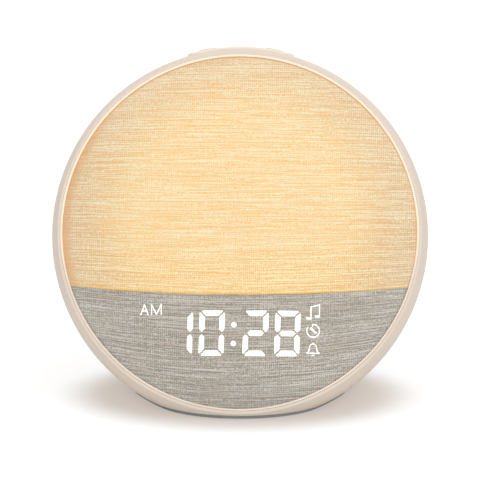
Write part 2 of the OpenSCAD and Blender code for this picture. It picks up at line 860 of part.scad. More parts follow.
// The symbols, drawn in halves of a symbol's size, with lines of a width
module note_symbol(w) {
    u = symbol_size / 2;
    head_w = 0.15 * u + w;
    stroke([-0.33 * u, -0.81 * u], [-0.33 * u, 0.82 * u], w);
    stroke([0.91 * u, -0.52 * u], [0.91 * u, 1.14 * u], w);
    stroke([-0.33 * u, 0.82 * u], [0.91 * u, 1.14 * u], w);
    stroke([-0.83 * u, -0.81 * u], [-0.4 * u, -0.81 * u], head_w);
    stroke([0.41 * u, -0.52 * u], [0.84 * u, -0.52 * u], head_w);
}

module dial_symbol(w) {
    u = symbol_size / 2;
    bow(0.92 * u, 144, 314, w);
    stroke([-0.1 * u, 0.9 * u], [-0.08 * u, 0.65 * u], w);
    stroke([-0.28 * u, 0.31 * u], [0.36 * u, -0.26 * u], 0.15 * u + w);
}

module bell_symbol(w) {
    u = symbol_size / 2;
    translate([0, 0.22 * u]) bow(0.5 * u, 0, 180, w);
    for (sx = [-1, 1]) {
        stroke([0.5 * sx * u, 0.22 * u], [0.62 * sx * u, -0.32 * u], w);
        stroke([0.62 * sx * u, -0.32 * u], [0.88 * sx * u, -0.6 * u], w);
        stroke([0.88 * sx * u, -0.6 * u], [0.32 * sx * u, -0.6 * u], w);
    }
    stroke([-0.14 * u, -0.93 * u], [0.14 * u, -0.93 * u], w);
    translate([0, 0.82 * u]) circle(0.6 * w, $fn = 32);
}

module symbols(grow) {
    w = stroke_w + 2 * grow;
    translate([symbol_x, symbols_y + symbol_pitch]) note_symbol(w);
    translate([symbol_x, symbols_y]) dial_symbol(w);
    translate([symbol_x, symbols_y - symbol_pitch]) bell_symbol(w);
}

module all_shapes(grow) {
    digit_segments(1, grow);
    digit_segments(0, grow);
    colon(grow);
    symbols(grow);
    half_day(0, grow);
    half_day(1, grow);
}

// Light pipes from just above the display board to the back of the fabric
module pipes(depth = pipe_depth) {
    on_face() intersection() {
        dome_solid(panel_inset, seat_depth);
        at_depth(depth) linear_extrude(reach) children();
    }
}

module lit_segments() {
    color("white") pipes() {
        digit_segments(1, 0);
        colon(0);
    }
}

module dark_segments() {
    color("#77756f") pipes() digit_segments(0, 0);
}

module lit_symbols() {
    color("white") pipes() {
        symbols(0);
        half_day(0, 0);
    }
}

module dark_symbols() {
    color("#77756f") pipes() half_day(1, 0);
}

module segment_block() {
    left = letters_x - 0.35 * digit_h;
    right = symbol_x + 0.27 * digit_h;
    top = display_board_top + 0.03 * digit_h;
    bottom = display_y - 0.62 * digit_h;
    color("#3c3b39") on_face() difference() {
        intersection() {
            dome_solid(block_inset, display_board_depth);
            at_depth(display_board_depth) linear_extrude(reach) intersection() {
                square_from(left, right, bottom, top);
                circle(display_board_r - 4 * fit);
            }
        }
        at_depth(display_board_depth + over) linear_extrude(reach) all_shapes(pipe_gap);
    }
}

// ---------------------------------------------------------------- display board

module display_board() {
    color("#2f5a45") on_face() board_plate(display_board_depth) difference() {
        intersection() {
            circle(display_board_r);
            square_from(-display_board_r, display_board_r, -reach, display_board_top);
        }
        for (angle = display_lug_angles)
            translate(turned(display_lug_r, angle)) circle(small_hole_r, $fn = 48);
    }
}

module display_emitter_at(point) {
    translate([point[0] - chip_emitter_l / 2, point[1] - chip_emitter_w / 2, -display_board_depth])
        cube([chip_emitter_l, chip_emitter_w, chip_emitter_h]);
}

module display_emitters() {
    color("#fff6d8") on_face() {
        for (d = [0:3], k = [0:6])
            display_emitter_at([digit_xs[d], display_y] + slanted([middle_of(segments[k])])[0]);
        for (side = [-1, 1])
            display_emitter_at([colon_x, display_y - colon_drop + side * colon_gap / 2]);
    }
}

module display_driver() {
    color("#1d1d1f") on_face() translate([digit_xs[0], display_y, -display_board_back - driver_size[2]])
        cube(driver_size);
}

// ---------------------------------------------------------------- keys

module button_deck() {
    color("#eadccd") on_face() difference() {
        intersection() {
            difference() {
                rotate_extrude($fn = 240) body_section(-deck_rise);
                rotate_extrude($fn = 240) body_section(deck_recess);
            }
            on_top() linear_extrude(reach) deck_outline();
            deck_roof();
        }
        key_holes(key_gap);
    }
}

// Height of a key's flange, under the curved wall of the housing
function key_flange_y(key) = inner_wall_y(abs(key[1]) + key[3] + key_flange_w) - 2 * key_gap;

module key_cap(key) {
    flange_y = key_flange_y(key);
    on_face() {
        difference() {
            intersection() {
                on_top(key[1], key[2], flange_y - key_flange_t) cylinder(r = key[3], h = reach, $fn = 96);
                rotate_extrude($fn = 240) body_section(-deck_rise - key_proud);
            }
            // shallow mark
            difference() {
                on_top(key[1], key[2]) linear_extrude(reach) children();
                rotate_extrude($fn = 240) body_section(-deck_rise - key_proud + mark_depth);
            }
        }
        on_top(key[1], key[2], flange_y - key_flange_t) cylinder(r = key[3] + key_flange_w, h = key_flange_t, $fn = 96);
        on_top(key[1], key[2], plunger_top) cylinder(r = key_stem_r, h = flange_y - plunger_top - key_flange_t / 2, $fn = 48);
    }
}

module snooze_key() {
    color("#efe3d6") key_cap(keys[0]) difference() {
        circle(main_key_r * 0.55, $fn = 64);
        circle(main_key_r * 0.47, $fn = 64);
    }
}

module plus_key() {
    color("#efe3d6") key_cap(keys[1]) {
        square([mark_l, mark_w], center = true);
        square([mark_w, mark_l], center = true);
    }
}

module minus_key() {
    color("#efe3d6") key_cap(keys[2]) square([mark_l, mark_w], center = true);
}

module light_key() {
    color("#efe3d6") key_cap(keys[3]) difference() {
        circle(mark_l / 2, $fn = 48);
        circle(mark_l / 2 - mark_w, $fn = 48);
    }
}

module sound_key() {
    color("#efe3d6") key_cap(keys[4]) for (k = [-1, 0, 1])
        translate([2 * k * mark_w, 0]) square([mark_w, mark_l * (1 - abs(k) / 2)], center = true);
}

module plunger(key) {
    color("#2b2b2d") on_face() on_top(key[1], key[2], plunger_top - plunger_rise - plunger_root)
        cylinder(r = plunger_r, h = plunger_rise + plunger_root, $fn = 48);
}

module switch_board() {
    color("#2f5a45") on_face() on_top(0, 0, switch_board_y - board_t) linear_extrude(board_t) difference() {
        rounded_rect(switch_board_w, switch_board_l, 2);
        for (sx = [-1, 1], sz = [-1, 1])
            translate([sx * post_x, sz * post_z]) circle(small_hole_r, $fn = 48);
    }
}

module switch_bodies() {
    well = plunger_root + key_travel + key_gap;
    color("#3a3a3d") on_face() for (key = keys)
        on_top(key[1], key[2], switch_board_y) difference() {
            translate([-switch_w / 2, -switch_w / 2, 0]) cube([switch_w, switch_w, switch_h]);
            translate([0, 0, switch_h - well]) cylinder(r = plunger_r + 2 * fit, h = well + over, $fn = 48);
        }
}

// ---------------------------------------------------------------- main board

module main_board() {
    color("#2f5a45") on_face() board_plate(main_board_depth) difference() {
        translate([0, main_board_y]) square([main_board_w, main_board_h], center = true);
        board_hole_places() circle(small_hole_r, $fn = 48);
    }
}

// A box on the front of the main board, its place given in shares of the board's sides
module on_main_board(across, up, size) {
    translate([
        across * main_board_w - size[0] / 2,
        main_board_y + up * main_board_h - size[1] / 2, -main_board_depth
    ]) cube(size);
}

module control_chips() {
    color("#1d1d1f") on_face() {
        on_main_board(-0.185, 0.077, processor_size);
        on_main_board(-0.26, -0.25, amplifier_size);
        on_main_board(-0.028, -0.04, coil_size);
    }
}

module board_capacitors() {
    color("#b9bcc0") on_face() for (across = [0.165, 0.265])
        at_depth(main_board_depth, [across * main_board_w, main_board_y - 0.36 * main_board_h])
            cylinder(r = 2.2, h = 5.4, $fn = 48);
}

module cell_holder() {
    color("#262628") on_face() at_depth(main_board_depth, [cell_x, cell_y]) difference() {
        cylinder(r = cell_r + cell_wall, h = cell_t + 1, $fn = 96);
        translate([0, 0, cell_floor]) cylinder(r = cell_r + fit, h = cell_t + 1, $fn = 96);
        translate([-2, -cell_r - 2 * cell_wall, cell_floor]) cube([4, 4, cell_t + 1]);
    }
}

module coin_cell() {
    color("#c9ccd0") on_face() at_depth(main_board_depth - cell_floor, [cell_x, cell_y])
        cylinder(r = cell_r, h = cell_t, $fn = 96);
}

module power_socket() {
    board_back = main_board_depth + board_t;
    length = body_depth - socket_recess - board_back;
    corner = socket_h / 2 - 2 * fit;
    color("#c4c6c9") on_face() translate([0, socket_y, -board_back - length]) {
        difference() {
            linear_extrude(length) rounded_rect(socket_w, socket_h, corner);
            translate([0, 0, -over]) linear_extrude(length - 3 + over)
                rounded_rect(socket_w - 2 * socket_shell, socket_h - 2 * socket_shell, corner - socket_shell);
        }
        translate([-0.36 * socket_w, -0.35, 1]) cube([0.72 * socket_w, 0.7, length - 3]);
    }
}

// ---------------------------------------------------------------- ribbons

// A plug on a board: its place, the width of its ribbon, and the depths of its front and back
module plug(x, y, width, front, back) {
    translate([x - width / 2 - plug_side, y - plug_w / 2, -back])
        cube([width + 2 * plug_side, plug_w, back - front]);
}

module ribbon_sockets() {
    board_front = main_board_depth - plug_l;
    color("#e8e4da") on_face() {
        plug(0, display_ribbon_y, display_ribbon_w, display_board_back, display_board_back + plug_l);
        plug(0, display_ribbon_y, display_ribbon_w, board_front, main_board_depth);
        plug(light_ribbon_x, light_plug_y, narrow_ribbon_w, reflector_back, light_plug_back);
        plug(light_ribbon_x, main_plug_y, narrow_ribbon_w, board_front, main_board_depth);
        plug(key_ribbon_x, main_plug_y, narrow_ribbon_w, board_front, main_board_depth);
        plug(0, main_plug_y, speaker_plug_w, board_front, main_board_depth);
        translate([
            key_ribbon_x - narrow_ribbon_w / 2 - plug_side,
            switch_board_y - board_t - plug_l, -key_ribbon_depth - plug_w / 2
        ]) cube([narrow_ribbon_w + 2 * plug_side, plug_l, plug_w]);
    }
}

// A flat ribbon through points given as depth and height, at a place across
module ribbon(x, width, path) {
    half = ribbon_t / 2;
    last = len(path) - 1;
    upper = [for (i = [0:last]) path[i] + half * ribbon_corner(path, i)];
    lower = [for (i = [0:last]) path[last - i] - half * ribbon_corner(path, last - i)];
    translate([x - width / 2, 0, 0]) rotate([0, 90, 0]) linear_extrude(width) polygon(concat(upper, lower));
}

// Offset direction at a point of a path, mitred where the path turns
function ribbon_corner(path, i) =
    let (last = len(path) - 1,
         before = i == 0 ? unit(path[1] - path[0]) : unit(path[i] - path[i - 1]),
         after = i == last ? before : unit(path[i + 1] - path[i]),
         across = unit([-before[1] - after[1], before[0] + after[0]]))
    across / (across * [-before[1], before[0]]);

module display_ribbon() {
    color("#e9e6df") on_face() ribbon(0, display_ribbon_w, [
        [display_board_back + plug_l, display_ribbon_y],
        [main_board_depth - plug_l, display_ribbon_y]
    ]);
}

module light_ribbon() {
    color("#e9e6df") on_face() ribbon(light_ribbon_x, narrow_ribbon_w, [
        [light_plug_back, light_plug_y], [light_plug_back + ribbon_lead, light_plug_y],
        [main_board_depth - ribbon_lead, main_plug_y], [main_board_depth - plug_l, main_plug_y]
    ]);
}

module key_ribbon() {
    color("#e9e6df") on_face() ribbon(key_ribbon_x, narrow_ribbon_w, [
        [key_ribbon_depth, switch_board_y - board_t - plug_l],
        [key_ribbon_depth, main_plug_y + key_ribbon_turn],
        [main_board_depth - ribbon_lead, main_plug_y], [main_board_depth - plug_l, main_plug_y]
    ]);
}

// ---------------------------------------------------------------- speaker

module speaker_frame() {
    seat_r = gasket_inner_r - 1.2;
    boss_r = coil_r + 2;
    color("#3d3f42") on_face() translate([0, speaker_y]) difference() {
        union() {
            rotate_extrude() polygon([
                [seat_r, -speaker_depth], [speaker_r, -speaker_depth], [speaker_r, basket_t - speaker_depth],
                [seat_r + 0.5, basket_t - speaker_depth], [magnet_r + 0.6, basket_t - basket_back],
                [boss_r, basket_t - basket_back], [boss_r, -basket_back], [magnet_r + 0.2, -basket_back]
            ]);
            for (angle = lug_angles)
                at_depth(speaker_depth, turned(ear_ring_r, angle)) {
                    rotate(angle) translate([-4, -ear_r, 0]) cube([4, 2 * ear_r, basket_t]);
                    cylinder(r = ear_r, h = basket_t, $fn = 48);
                }
        }
        for (angle = lug_angles)
            at_depth(speaker_depth + over, turned(ear_ring_r, angle))
                cylinder(r = small_hole_r, h = basket_t + 2 * over, $fn = 48);
    }
}

module speaker_magnet() {
    color("#4a4c50") on_face() translate([0, speaker_y]) ring(magnet_r, coil_r + 2, magnet_front, magnet_t);
}

module speaker_yoke() {
    color("#9a9da1") on_face() translate([0, speaker_y]) {
        at_depth(magnet_front) cylinder(r = magnet_r - 0.5, h = yoke_t);
        at_depth(basket_back + 0.3) cylinder(r = coil_r - 0.6, h = magnet_t + basket_t + 0.6);
    }
}

module voice_coil() {
    color("#c98a4b") on_face() translate([0, speaker_y])
        ring(coil_r + coil_t, coil_r - 0.1, cone_back - coil_l, coil_l);
}

module speaker_cone() {
    color("#2c2c2e") on_face() translate([0, speaker_y]) rotate_extrude() polygon([
        [coil_r - 0.1, -cone_back], [coil_r + cone_t, -cone_back],
        [cone_outer_r, 0.4 - speaker_depth], [cone_outer_r, -speaker_depth],
        [cone_outer_r - cone_t, -speaker_depth], [coil_r - 0.1, -cone_back - 0.5]
    ]);
}

module dust_cap() {
    rim = coil_r - 0.1 - fit;
    cap_r = 2 * rim;
    sink = sqrt(cap_r * cap_r - rim * rim);
    color("#38383a") on_face() translate([0, speaker_y]) at_depth(cone_back + 0.5) rotate([180, 0, 0])
        rotate_extrude() difference() {
            translate([0, -sink]) intersection() {
                circle(cap_r);
                square([rim, cap_r]);
            }
            translate([0, -sink]) circle(cap_r - coil_t);
            translate([0, -cap_r]) square([rim, cap_r]);
        }
}

module speaker_surround() {
    roll_mid = (cone_outer_r + surround_r) / 2;
    roll_r = (surround_r - cone_outer_r) / 2;
    color("#1e1e20") on_face() translate([0, speaker_y]) rotate([180, 0, 0])
        rotate_extrude() translate([0, speaker_depth]) {
            difference() {
                translate([roll_mid, 0]) circle(roll_r, $fn = 64);
                translate([roll_mid, 0]) circle(roll_r - surround_t, $fn = 64);
                square_from(0, roll_mid * 2, -2 * roll_r, 0);
            }
            square_from(surround_r - 0.3, gasket_inner_r - 0.2, 0, surround_t);
            square_from(cone_outer_r - cone_t, cone_outer_r + 0.3, 0, surround_t);
        }
}

module speaker_gasket() {
    color("#2a2a2c") on_face() translate([0, speaker_y])
        ring(speaker_r - 0.2, gasket_inner_r, speaker_depth, gasket_t);
}

module speaker_wires() {
    out_r = magnet_r + 3.6;
    color("#b03a2e") on_face() for (side = [-1, 1])
        wire(
            [side * wire_side, speaker_y - out_r, -wire_root_depth],
            [side * wire_side, main_plug_y + plug_w / 2 + 4 * fit, plug_l / 2 - main_board_depth]
        );
}

// A straight round wire between two points
module wire(from, to) {
    along = to - from;
    flat = norm([along[0], along[1]]);
    translate(from) rotate([0, atan2(flat, along[2]), atan2(along[1], along[0])])
        cylinder(r = wire_r, h = norm(along), $fn = 32);
}

// ---------------------------------------------------------------- screws

module rear_screws() {
    color("#8d9094") on_face() for (angle = lug_angles)
        at_depth(body_depth - head_seat, turned(lug_ring_r, angle)) rotate([180, 0, 0])
            screw(pilot_r - fit, rear_screw_l, rear_head_r, rear_head_h);
}

module frame_screws() {
    color("#8d9094") on_face() for (angle = frame_screw_angles)
        at_depth(frame_front + frame_head_sink, turned(frame_screw_r, angle))
            screw(pilot_r - fit, frame_screw_l, head_r, head_h);
}

module small_screw(length) {
    screw(small_pilot_r - fit, length, small_head_r, small_head_h);
}

module reflector_screws() {
    color("#8d9094") on_face() for (angle = reflector_screw_angles)
        at_depth(seat_depth + reflector_t, turned(reflector_screw_r, angle))
            rotate([180, 0, 0]) small_screw(plate_screw_l);
}

module display_screws() {
    color("#8d9094") on_face() for (angle = display_lug_angles)
        at_depth(display_board_back, turned(display_lug_r, angle))
            rotate([180, 0, 0]) small_screw(lug_screw_l);
}

module main_board_screws() {
    color("#8d9094") on_face() at_depth(main_board_depth) board_hole_places() small_screw(board_screw_l);
}

module switch_board_screws() {
    color("#8d9094") on_face() for (sx = [-1, 1], sz = [-1, 1])
        on_top(sx * post_x, sz * post_z, switch_board_y - board_t)
            rotate([180, 0, 0]) small_screw(board_screw_l);
}

module speaker_screws() {
    color("#8d9094") on_face() at_depth(speaker_depth - basket_t) ear_places() small_screw(plate_screw_l);
}

// ---------------------------------------------------------------- drawing

main_housing();
rear_cover();
foot_pad();
bezel_ring();
fabric_cover();
light_diffuser();
display_panel();
front_frame();
reflector();
light_board();
light_emitters();
display_board();
segment_block();
lit_segments();
dark_segments();
lit_symbols();
dark_symbols();
display_emitters();
display_driver();
button_deck();
snooze_key();
plus_key();
minus_key();
light_key();
sound_key();
plunger(keys[0]);  // snooze_plunger
plunger(keys[1]);  // plus_plunger
plunger(keys[2]);  // minus_plunger
plunger(keys[3]);  // light_plunger
plunger(keys[4]);  // sound_plunger
switch_board();
switch_bodies();
main_board();
control_chips();
board_capacitors();
coin_cell();
cell_holder();
power_socket();
ribbon_sockets();
display_ribbon();
light_ribbon();
key_ribbon();
speaker_frame();
speaker_magnet();
speaker_yoke();
voice_coil();
speaker_cone();
dust_cap();
speaker_surround();
speaker_gasket();
speaker_wires();
rear_screws();
frame_screws();
reflector_screws();
display_screws();
main_board_screws();
switch_board_screws();
speaker_screws();
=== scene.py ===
# %% [markdown]
# # A sunrise alarm clock
#
# This lesson dresses a clock that was built as separate solids. The solids give the places and
# sizes, apart from a few values, such as the lean of the face, that are repeated here. They get
# their finishes, the woven front is made as a sheet of its own, and a camera and plain studio
# lights are set up round them.

from math import atan2, ceil, cos, exp, hypot, pi, radians, sin, sqrt, tan

import bmesh
import bpy
from mathutils import Matrix, Vector
from mathutils.geometry import delaunay_2d_cdt


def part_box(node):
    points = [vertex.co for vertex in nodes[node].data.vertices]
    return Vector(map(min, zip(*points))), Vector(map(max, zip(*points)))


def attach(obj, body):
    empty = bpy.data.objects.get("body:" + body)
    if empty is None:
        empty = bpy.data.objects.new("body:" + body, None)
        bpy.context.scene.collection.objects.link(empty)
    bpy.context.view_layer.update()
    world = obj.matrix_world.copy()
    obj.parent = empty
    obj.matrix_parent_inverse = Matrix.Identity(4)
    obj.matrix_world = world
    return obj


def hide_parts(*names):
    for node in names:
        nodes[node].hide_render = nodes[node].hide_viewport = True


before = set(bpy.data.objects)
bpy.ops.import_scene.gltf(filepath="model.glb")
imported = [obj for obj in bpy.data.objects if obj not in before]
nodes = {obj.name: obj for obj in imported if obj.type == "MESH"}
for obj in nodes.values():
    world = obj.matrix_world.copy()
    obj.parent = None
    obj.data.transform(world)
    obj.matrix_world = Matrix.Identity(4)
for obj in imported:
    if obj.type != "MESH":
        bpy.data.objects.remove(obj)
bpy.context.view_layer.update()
MM = 0.001

# %% [markdown]
# ## The face's own frame
#
# The face of the clock is round and leans back. Anything on it is easiest to place with X to the
# right, Y up the face and Z out of it. One matrix takes such a point to the world. Its place
# comes from the solid that stands in for the cloth, a dome with a skirt, so the cloth follows
# the solids. The lean and the skirt's depth are repeated from them.

# %% The face's frame
TILT = radians(22)
SKIRT = 6.5 * MM

cloth_low, cloth_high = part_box("fabric_cover")
CLOTH_R = (cloth_high.x - cloth_low.x) / 2
face_y = cloth_high.y - CLOTH_R * sin(TILT) - SKIRT * cos(TILT)
FACE_HEIGHT = (cloth_low.z + cloth_high.z + SKIRT * sin(TILT)) / 2
FACE = Matrix.Translation((0, face_y, FACE_HEIGHT)) @ Matrix.Rotation(pi / 2 - TILT, 4, "X")
print("face centre:", tuple(round(v, 4) for v in FACE.translation))
print("cloth radius:", round(CLOTH_R, 4))

# %% [markdown]
# ## The camera
#
# A long lens from about a metre away keeps the round face round. The camera stands a little to
# the right and looks slightly down, so the underside of the rim and a sliver of the deck on top
# both show.

# %% The camera
VIEW_AZIMUTH = radians(0.8)
VIEW_ELEVATION = radians(15.5)
VIEW_DISTANCE = 0.9
LENS = 156.2
AIM_DROP = 3.9 * MM
AIM_SIDE = 0.2 * MM

toward_camera = Vector((
    sin(VIEW_AZIMUTH) * cos(VIEW_ELEVATION),
    -cos(VIEW_AZIMUTH) * cos(VIEW_ELEVATION),
    sin(VIEW_ELEVATION),
))
camera_data = bpy.data.cameras.new("studio_camera")
camera_data.lens = LENS
camera = bpy.data.objects.new("studio_camera", camera_data)
bpy.context.scene.collection.objects.link(camera)
camera.rotation_mode = "QUATERNION"
camera.rotation_quaternion = (-toward_camera).to_track_quat("-Z", "Y")
aim = camera.rotation_quaternion @ Vector((AIM_SIDE, -AIM_DROP, VIEW_DISTANCE))
camera.location = FACE.translation + aim
bpy.context.scene.camera = camera
print("camera at", tuple(round(v, 3) for v in camera.location))

# %% [markdown]
# ## Writing shaders as sums
#
# A node tree is easier to read as arithmetic. This small class wraps one output socket, and the
# usual operators add Math nodes behind the scenes, so `1 - mask` or `grain * 0.2` just works.

# %% A socket that can be added and multiplied
class Value:
    def __init__(self, tree, socket):
        self.tree = tree
        self.socket = socket

    def math(self, operation, *others):
        inputs = dict(enumerate([self, *others]))
        return self.tree.node("ShaderNodeMath", {"operation": operation}, inputs)

    def __add__(self, other):
        return self.math("ADD", other)

    def __sub__(self, other):
        return self.math("SUBTRACT", other)

    def __mul__(self, other):
        return self.math("MULTIPLY", other)

    def __truediv__(self, other):
        return self.math("DIVIDE", other)

    def __neg__(self):
        return self * -1

    def __rsub__(self, other):
        return -self + other

    __radd__ = __add__
    __rmul__ = __mul__

    def floor(self):
        return self.math("FLOOR")

    def wave(self):
        """A ridge from 0 to 1 and back for each whole step of the value."""
        return (self * pi).math("SINE").math("ABSOLUTE")

    def at_least(self, other):
        return self.math("MAXIMUM", other)


# %% [markdown]
# ## One tree, one Paint
#
# `Tree` wraps any node tree. Its `node` method is the only way that nodes are made: settings
# first, then each socket gets a number or a link. `Paint` adds a material with a Principled
# shader. Colours go through Mix nodes, because a Math node would turn them grey.

# %% The Tree and Paint classes
BLACK = (0, 0, 0, 1)
WHITE = (1, 1, 1, 1)


def linear(level):
    """The amount of light behind one 0 to 255 number of a screen colour."""
    share = level / 255
    return share / 12.92 if share <= 0.04045 else ((share + 0.055) / 1.055) ** 2.4


def srgb(red, green, blue):
    """A linear colour from the 0 to 255 numbers of a screen colour."""
    return (linear(red), linear(green), linear(blue), 1)


def grey(level):
    return (level, level, level, 1)


def shaded(colour, amount):
    return (*[c * amount for c in colour[:3]], 1)


class Tree:
    def __init__(self, tree):
        self.tree = tree

    def connect(self, target, value):
        if isinstance(value, Value):
            self.tree.links.new(value.socket, target)
        else:
            target.default_value = value

    def node(self, kind, settings=None, inputs=None, output=0):
        made = self.tree.nodes.new(kind)
        for name, value in (settings or {}).items():
            setattr(made, name, value)
        for socket, value in (inputs or {}).items():
            self.connect(made.inputs[socket], value)
        return Value(self, made.outputs[output])

    def parts(self, vector):
        split = self.node("ShaderNodeSeparateXYZ", None, {0: vector}).socket.node
        return [Value(self, split.outputs[axis]) for axis in "XYZ"]

    def join(self, x, y, z=0.0):
        return self.node("ShaderNodeCombineXYZ", None, {"X": x, "Y": y, "Z": z})

    def stretch(self, vector, scale):
        return self.node("ShaderNodeVectorMath", {"operation": "MULTIPLY"}, {0: vector, 1: scale})

    def noise(self, vector, scale=1.0, detail=3.0, roughness=0.5):
        inputs = {"Vector": vector, "Scale": scale, "Detail": detail, "Roughness": roughness}
        return self.node("ShaderNodeTexNoise", None, inputs)

    def fade(self, value, start, end, low=0.0, high=1.0):
        """A smooth step from low to high as the value goes from start to end."""
        settings = {"interpolation_type": "SMOOTHSTEP"}
        inputs = {"Value": value, "From Min": start, "From Max": end, "To Min": low, "To Max": high}
        return self.node("ShaderNodeMapRange", settings, inputs)

    def mix(self, factor, first, second, blend="MIX"):
        settings = {"data_type": "RGBA", "blend_type": blend}
        return self.node("ShaderNodeMix", settings, {0: factor, 6: first, 7: second}, output=2)


class Paint(Tree):
    def __init__(self, name, **fixed):
        self.open(bpy.data.materials.new(name))
        for socket, value in fixed.items():
            self.set(socket.replace("_", " "), value)

    def open(self, material):
        self.material = material
        self.material.use_nodes = True
        super().__init__(self.material.node_tree)
        self.shader = self.tree.nodes["Principled BSDF"]

    @classmethod
    def of(cls, material):
        """More paint for a material that is already there."""
        paint = cls.__new__(cls)
        paint.open(material)
        return paint

    def set(self, socket, value):
        self.connect(self.shader.inputs[socket], value)

    def place(self):
        """The point's place on the object, in metres."""
        return self.node("ShaderNodeTexCoord", output="Object")

    def bump(self, height, distance, strength=1.0, normal=None):
        inputs = {"Height": height, "Distance": distance, "Strength": strength}
        if normal is not None:
            inputs["Normal"] = normal
        self.set("Normal", self.node("ShaderNodeBump", None, inputs))

    def round_edges(self, radius):
        return self.node("ShaderNodeBevel", {"samples": 6}, {"Radius": radius})


# %% [markdown]
# ## Moulded plastic
#
# The housing is one moulding in a warm sand colour with a fine spark-eroded grain. The grain is
# far too small to model, so a bump made of two noises carries it. A slow third noise shifts the
# colour and the roughness a little, because no moulding is perfectly even. The Bevel node lets
# light catch the edges that the mould leaves slightly round.
#
# The bright ring round the cloth is a plastic of its own. On the real clock the lamp's light also
# falls on it. Here that light is painted, as a warm emission that sets in just below the divider
# and is full at the height of the face's middle.

# %% Plastic finishes
def moulded(name, colour, roughness=0.5, grain=0.02 * MM, edge=0.35 * MM, spread=0.04):
    paint = Paint(name)
    place = paint.place()
    slow = paint.noise(place, 35.0, 2.0)
    fine = paint.noise(place, 2600.0, 2.0, 0.6)
    pores = paint.noise(place, 900.0, 1.0)
    paint.set("Base Color", paint.mix(slow, shaded(colour, 0.95), colour))
    paint.set("Roughness", paint.fade(slow, 0.3, 0.7, roughness - spread, roughness + spread))
    rounded = paint.round_edges(edge) if edge else None
    paint.bump(fine * 0.7 + pores * 0.3, grain, 0.6, rounded)
    return paint.material


housing_plastic = moulded("sand_housing_plastic", srgb(226, 211, 196), 0.5)
deck_plastic = moulded("sand_deck_plastic", srgb(248, 235, 217), 0.42)
key_plastic = moulded("sand_key_plastic", srgb(250, 238, 221), 0.36, edge=0.5 * MM)
bezel_plastic = moulded(
    "cream_bezel_plastic", srgb(246, 231, 217), 0.25, grain=0.004 * MM, edge=0.2 * MM
)
black_plastic = moulded("black_moulding", srgb(44, 43, 42), 0.55)
white_plastic = moulded("white_moulding", srgb(236, 235, 230), 0.4)
ivory_plastic = moulded("ivory_plug_nylon", srgb(228, 221, 203), 0.45)
panel_plastic = moulded("grey_panel_plastic", srgb(139, 136, 128), 0.6)
gloss_white = moulded("gloss_reflector_white", srgb(246, 245, 240), 0.25, grain=0.004 * MM)
chip_epoxy = moulded("black_chip_epoxy", srgb(30, 30, 32), 0.48, grain=0.01 * MM, edge=0.08 * MM)
print("plastic finishes: 10")

# %% Lamp light on the bezel ring
STRAY_LIGHT = srgb(120, 103, 78)
STRAY_START = FACE_HEIGHT - 24 * MM

bezel_glow = Paint.of(bezel_plastic)
height = bezel_glow.parts(bezel_glow.place())[2]
stray = bezel_glow.fade(height, STRAY_START, FACE_HEIGHT)
bezel_glow.set("Emission Color", bezel_glow.mix(stray, BLACK, STRAY_LIGHT))
bezel_glow.set("Emission Strength", 1.0)
print("the ring's light starts at", round(STRAY_START, 4))

# %% [markdown]
# ## Rubber, metal and paper
#
# The foot is a soft grey rubber: very rough, with a fine pitted skin. Metals are the opposite. They
# get their look from reflections, so their noise goes to the roughness and a brushed bump.

# %% Rubber and foam
def soft(name, colour, roughness=0.85, grain=0.05 * MM, scale=1500.0):
    paint = Paint(name, Roughness=roughness)
    place = paint.place()
    pits = paint.noise(place, scale, 3.0, 0.7)
    dust = paint.noise(place, 60.0, 3.0)
    paint.set("Base Color", paint.mix(paint.fade(dust, 0.45, 0.75), colour, shaded(colour, 1.2)))
    paint.bump(pits, grain, 0.7)
    return paint.material


foot_rubber = soft("grey_foot_rubber", srgb(144, 147, 150))
surround_rubber = soft("black_surround_rubber", srgb(32, 32, 34), 0.6, 0.01 * MM)
gasket_foam = soft("charcoal_gasket_foam", srgb(48, 48, 50), 0.95, 0.2 * MM, 700.0)
cone_paper = soft("pressed_cone_paper", srgb(46, 45, 44), 0.9, 0.06 * MM, 420.0)
cap_film = soft("dust_cap_film", srgb(58, 58, 60), 0.5, 0.004 * MM)
print("soft finishes: 5")


# %% Metals
def metal(name, colour, roughness=0.3, brushed=(1.0, 1.0, 12.0)):
    paint = Paint(name, Metallic=1.0)
    place = paint.stretch(paint.place(), brushed)
    lines = paint.noise(place, 900.0, 3.0, 0.6)
    stain = paint.noise(place, 40.0, 3.0)
    paint.set("Base Color", paint.mix(stain, shaded(colour, 0.86), colour))
    paint.set("Roughness", paint.fade(stain, 0.3, 0.7, roughness * 0.8, roughness * 1.3))
    paint.bump(lines, 0.004 * MM, 0.4, paint.round_edges(0.1 * MM))
    return paint.material


zinc_steel = metal("zinc_plated_steel", srgb(186, 188, 190), 0.3)
black_steel = metal("black_oxide_steel", srgb(64, 66, 70), 0.42)
nickel_shell = metal("nickel_socket_shell", srgb(206, 206, 204), 0.22)
cell_steel = metal("coin_cell_steel", srgb(200, 202, 206), 0.25, (1.0, 12.0, 1.0))
aluminium_can = metal("aluminium_can", srgb(205, 208, 212), 0.35)
ferrite = soft("sintered_ferrite", srgb(62, 64, 68), 0.7, 0.03 * MM, 900.0)
print("metal finishes: 5")

# %% [markdown]
# ## Circuit boards, coil and ribbons
#
# A board is lacquer over copper, white on the lamp's board and green on the others. Voronoi cells
# whose borders are thin lines stand in for the tracks. The coil is fine copper wire, wound turn by
# turn, and a ribbon is many thin wires side by side, so both are a ridge that repeats along one
# axis.

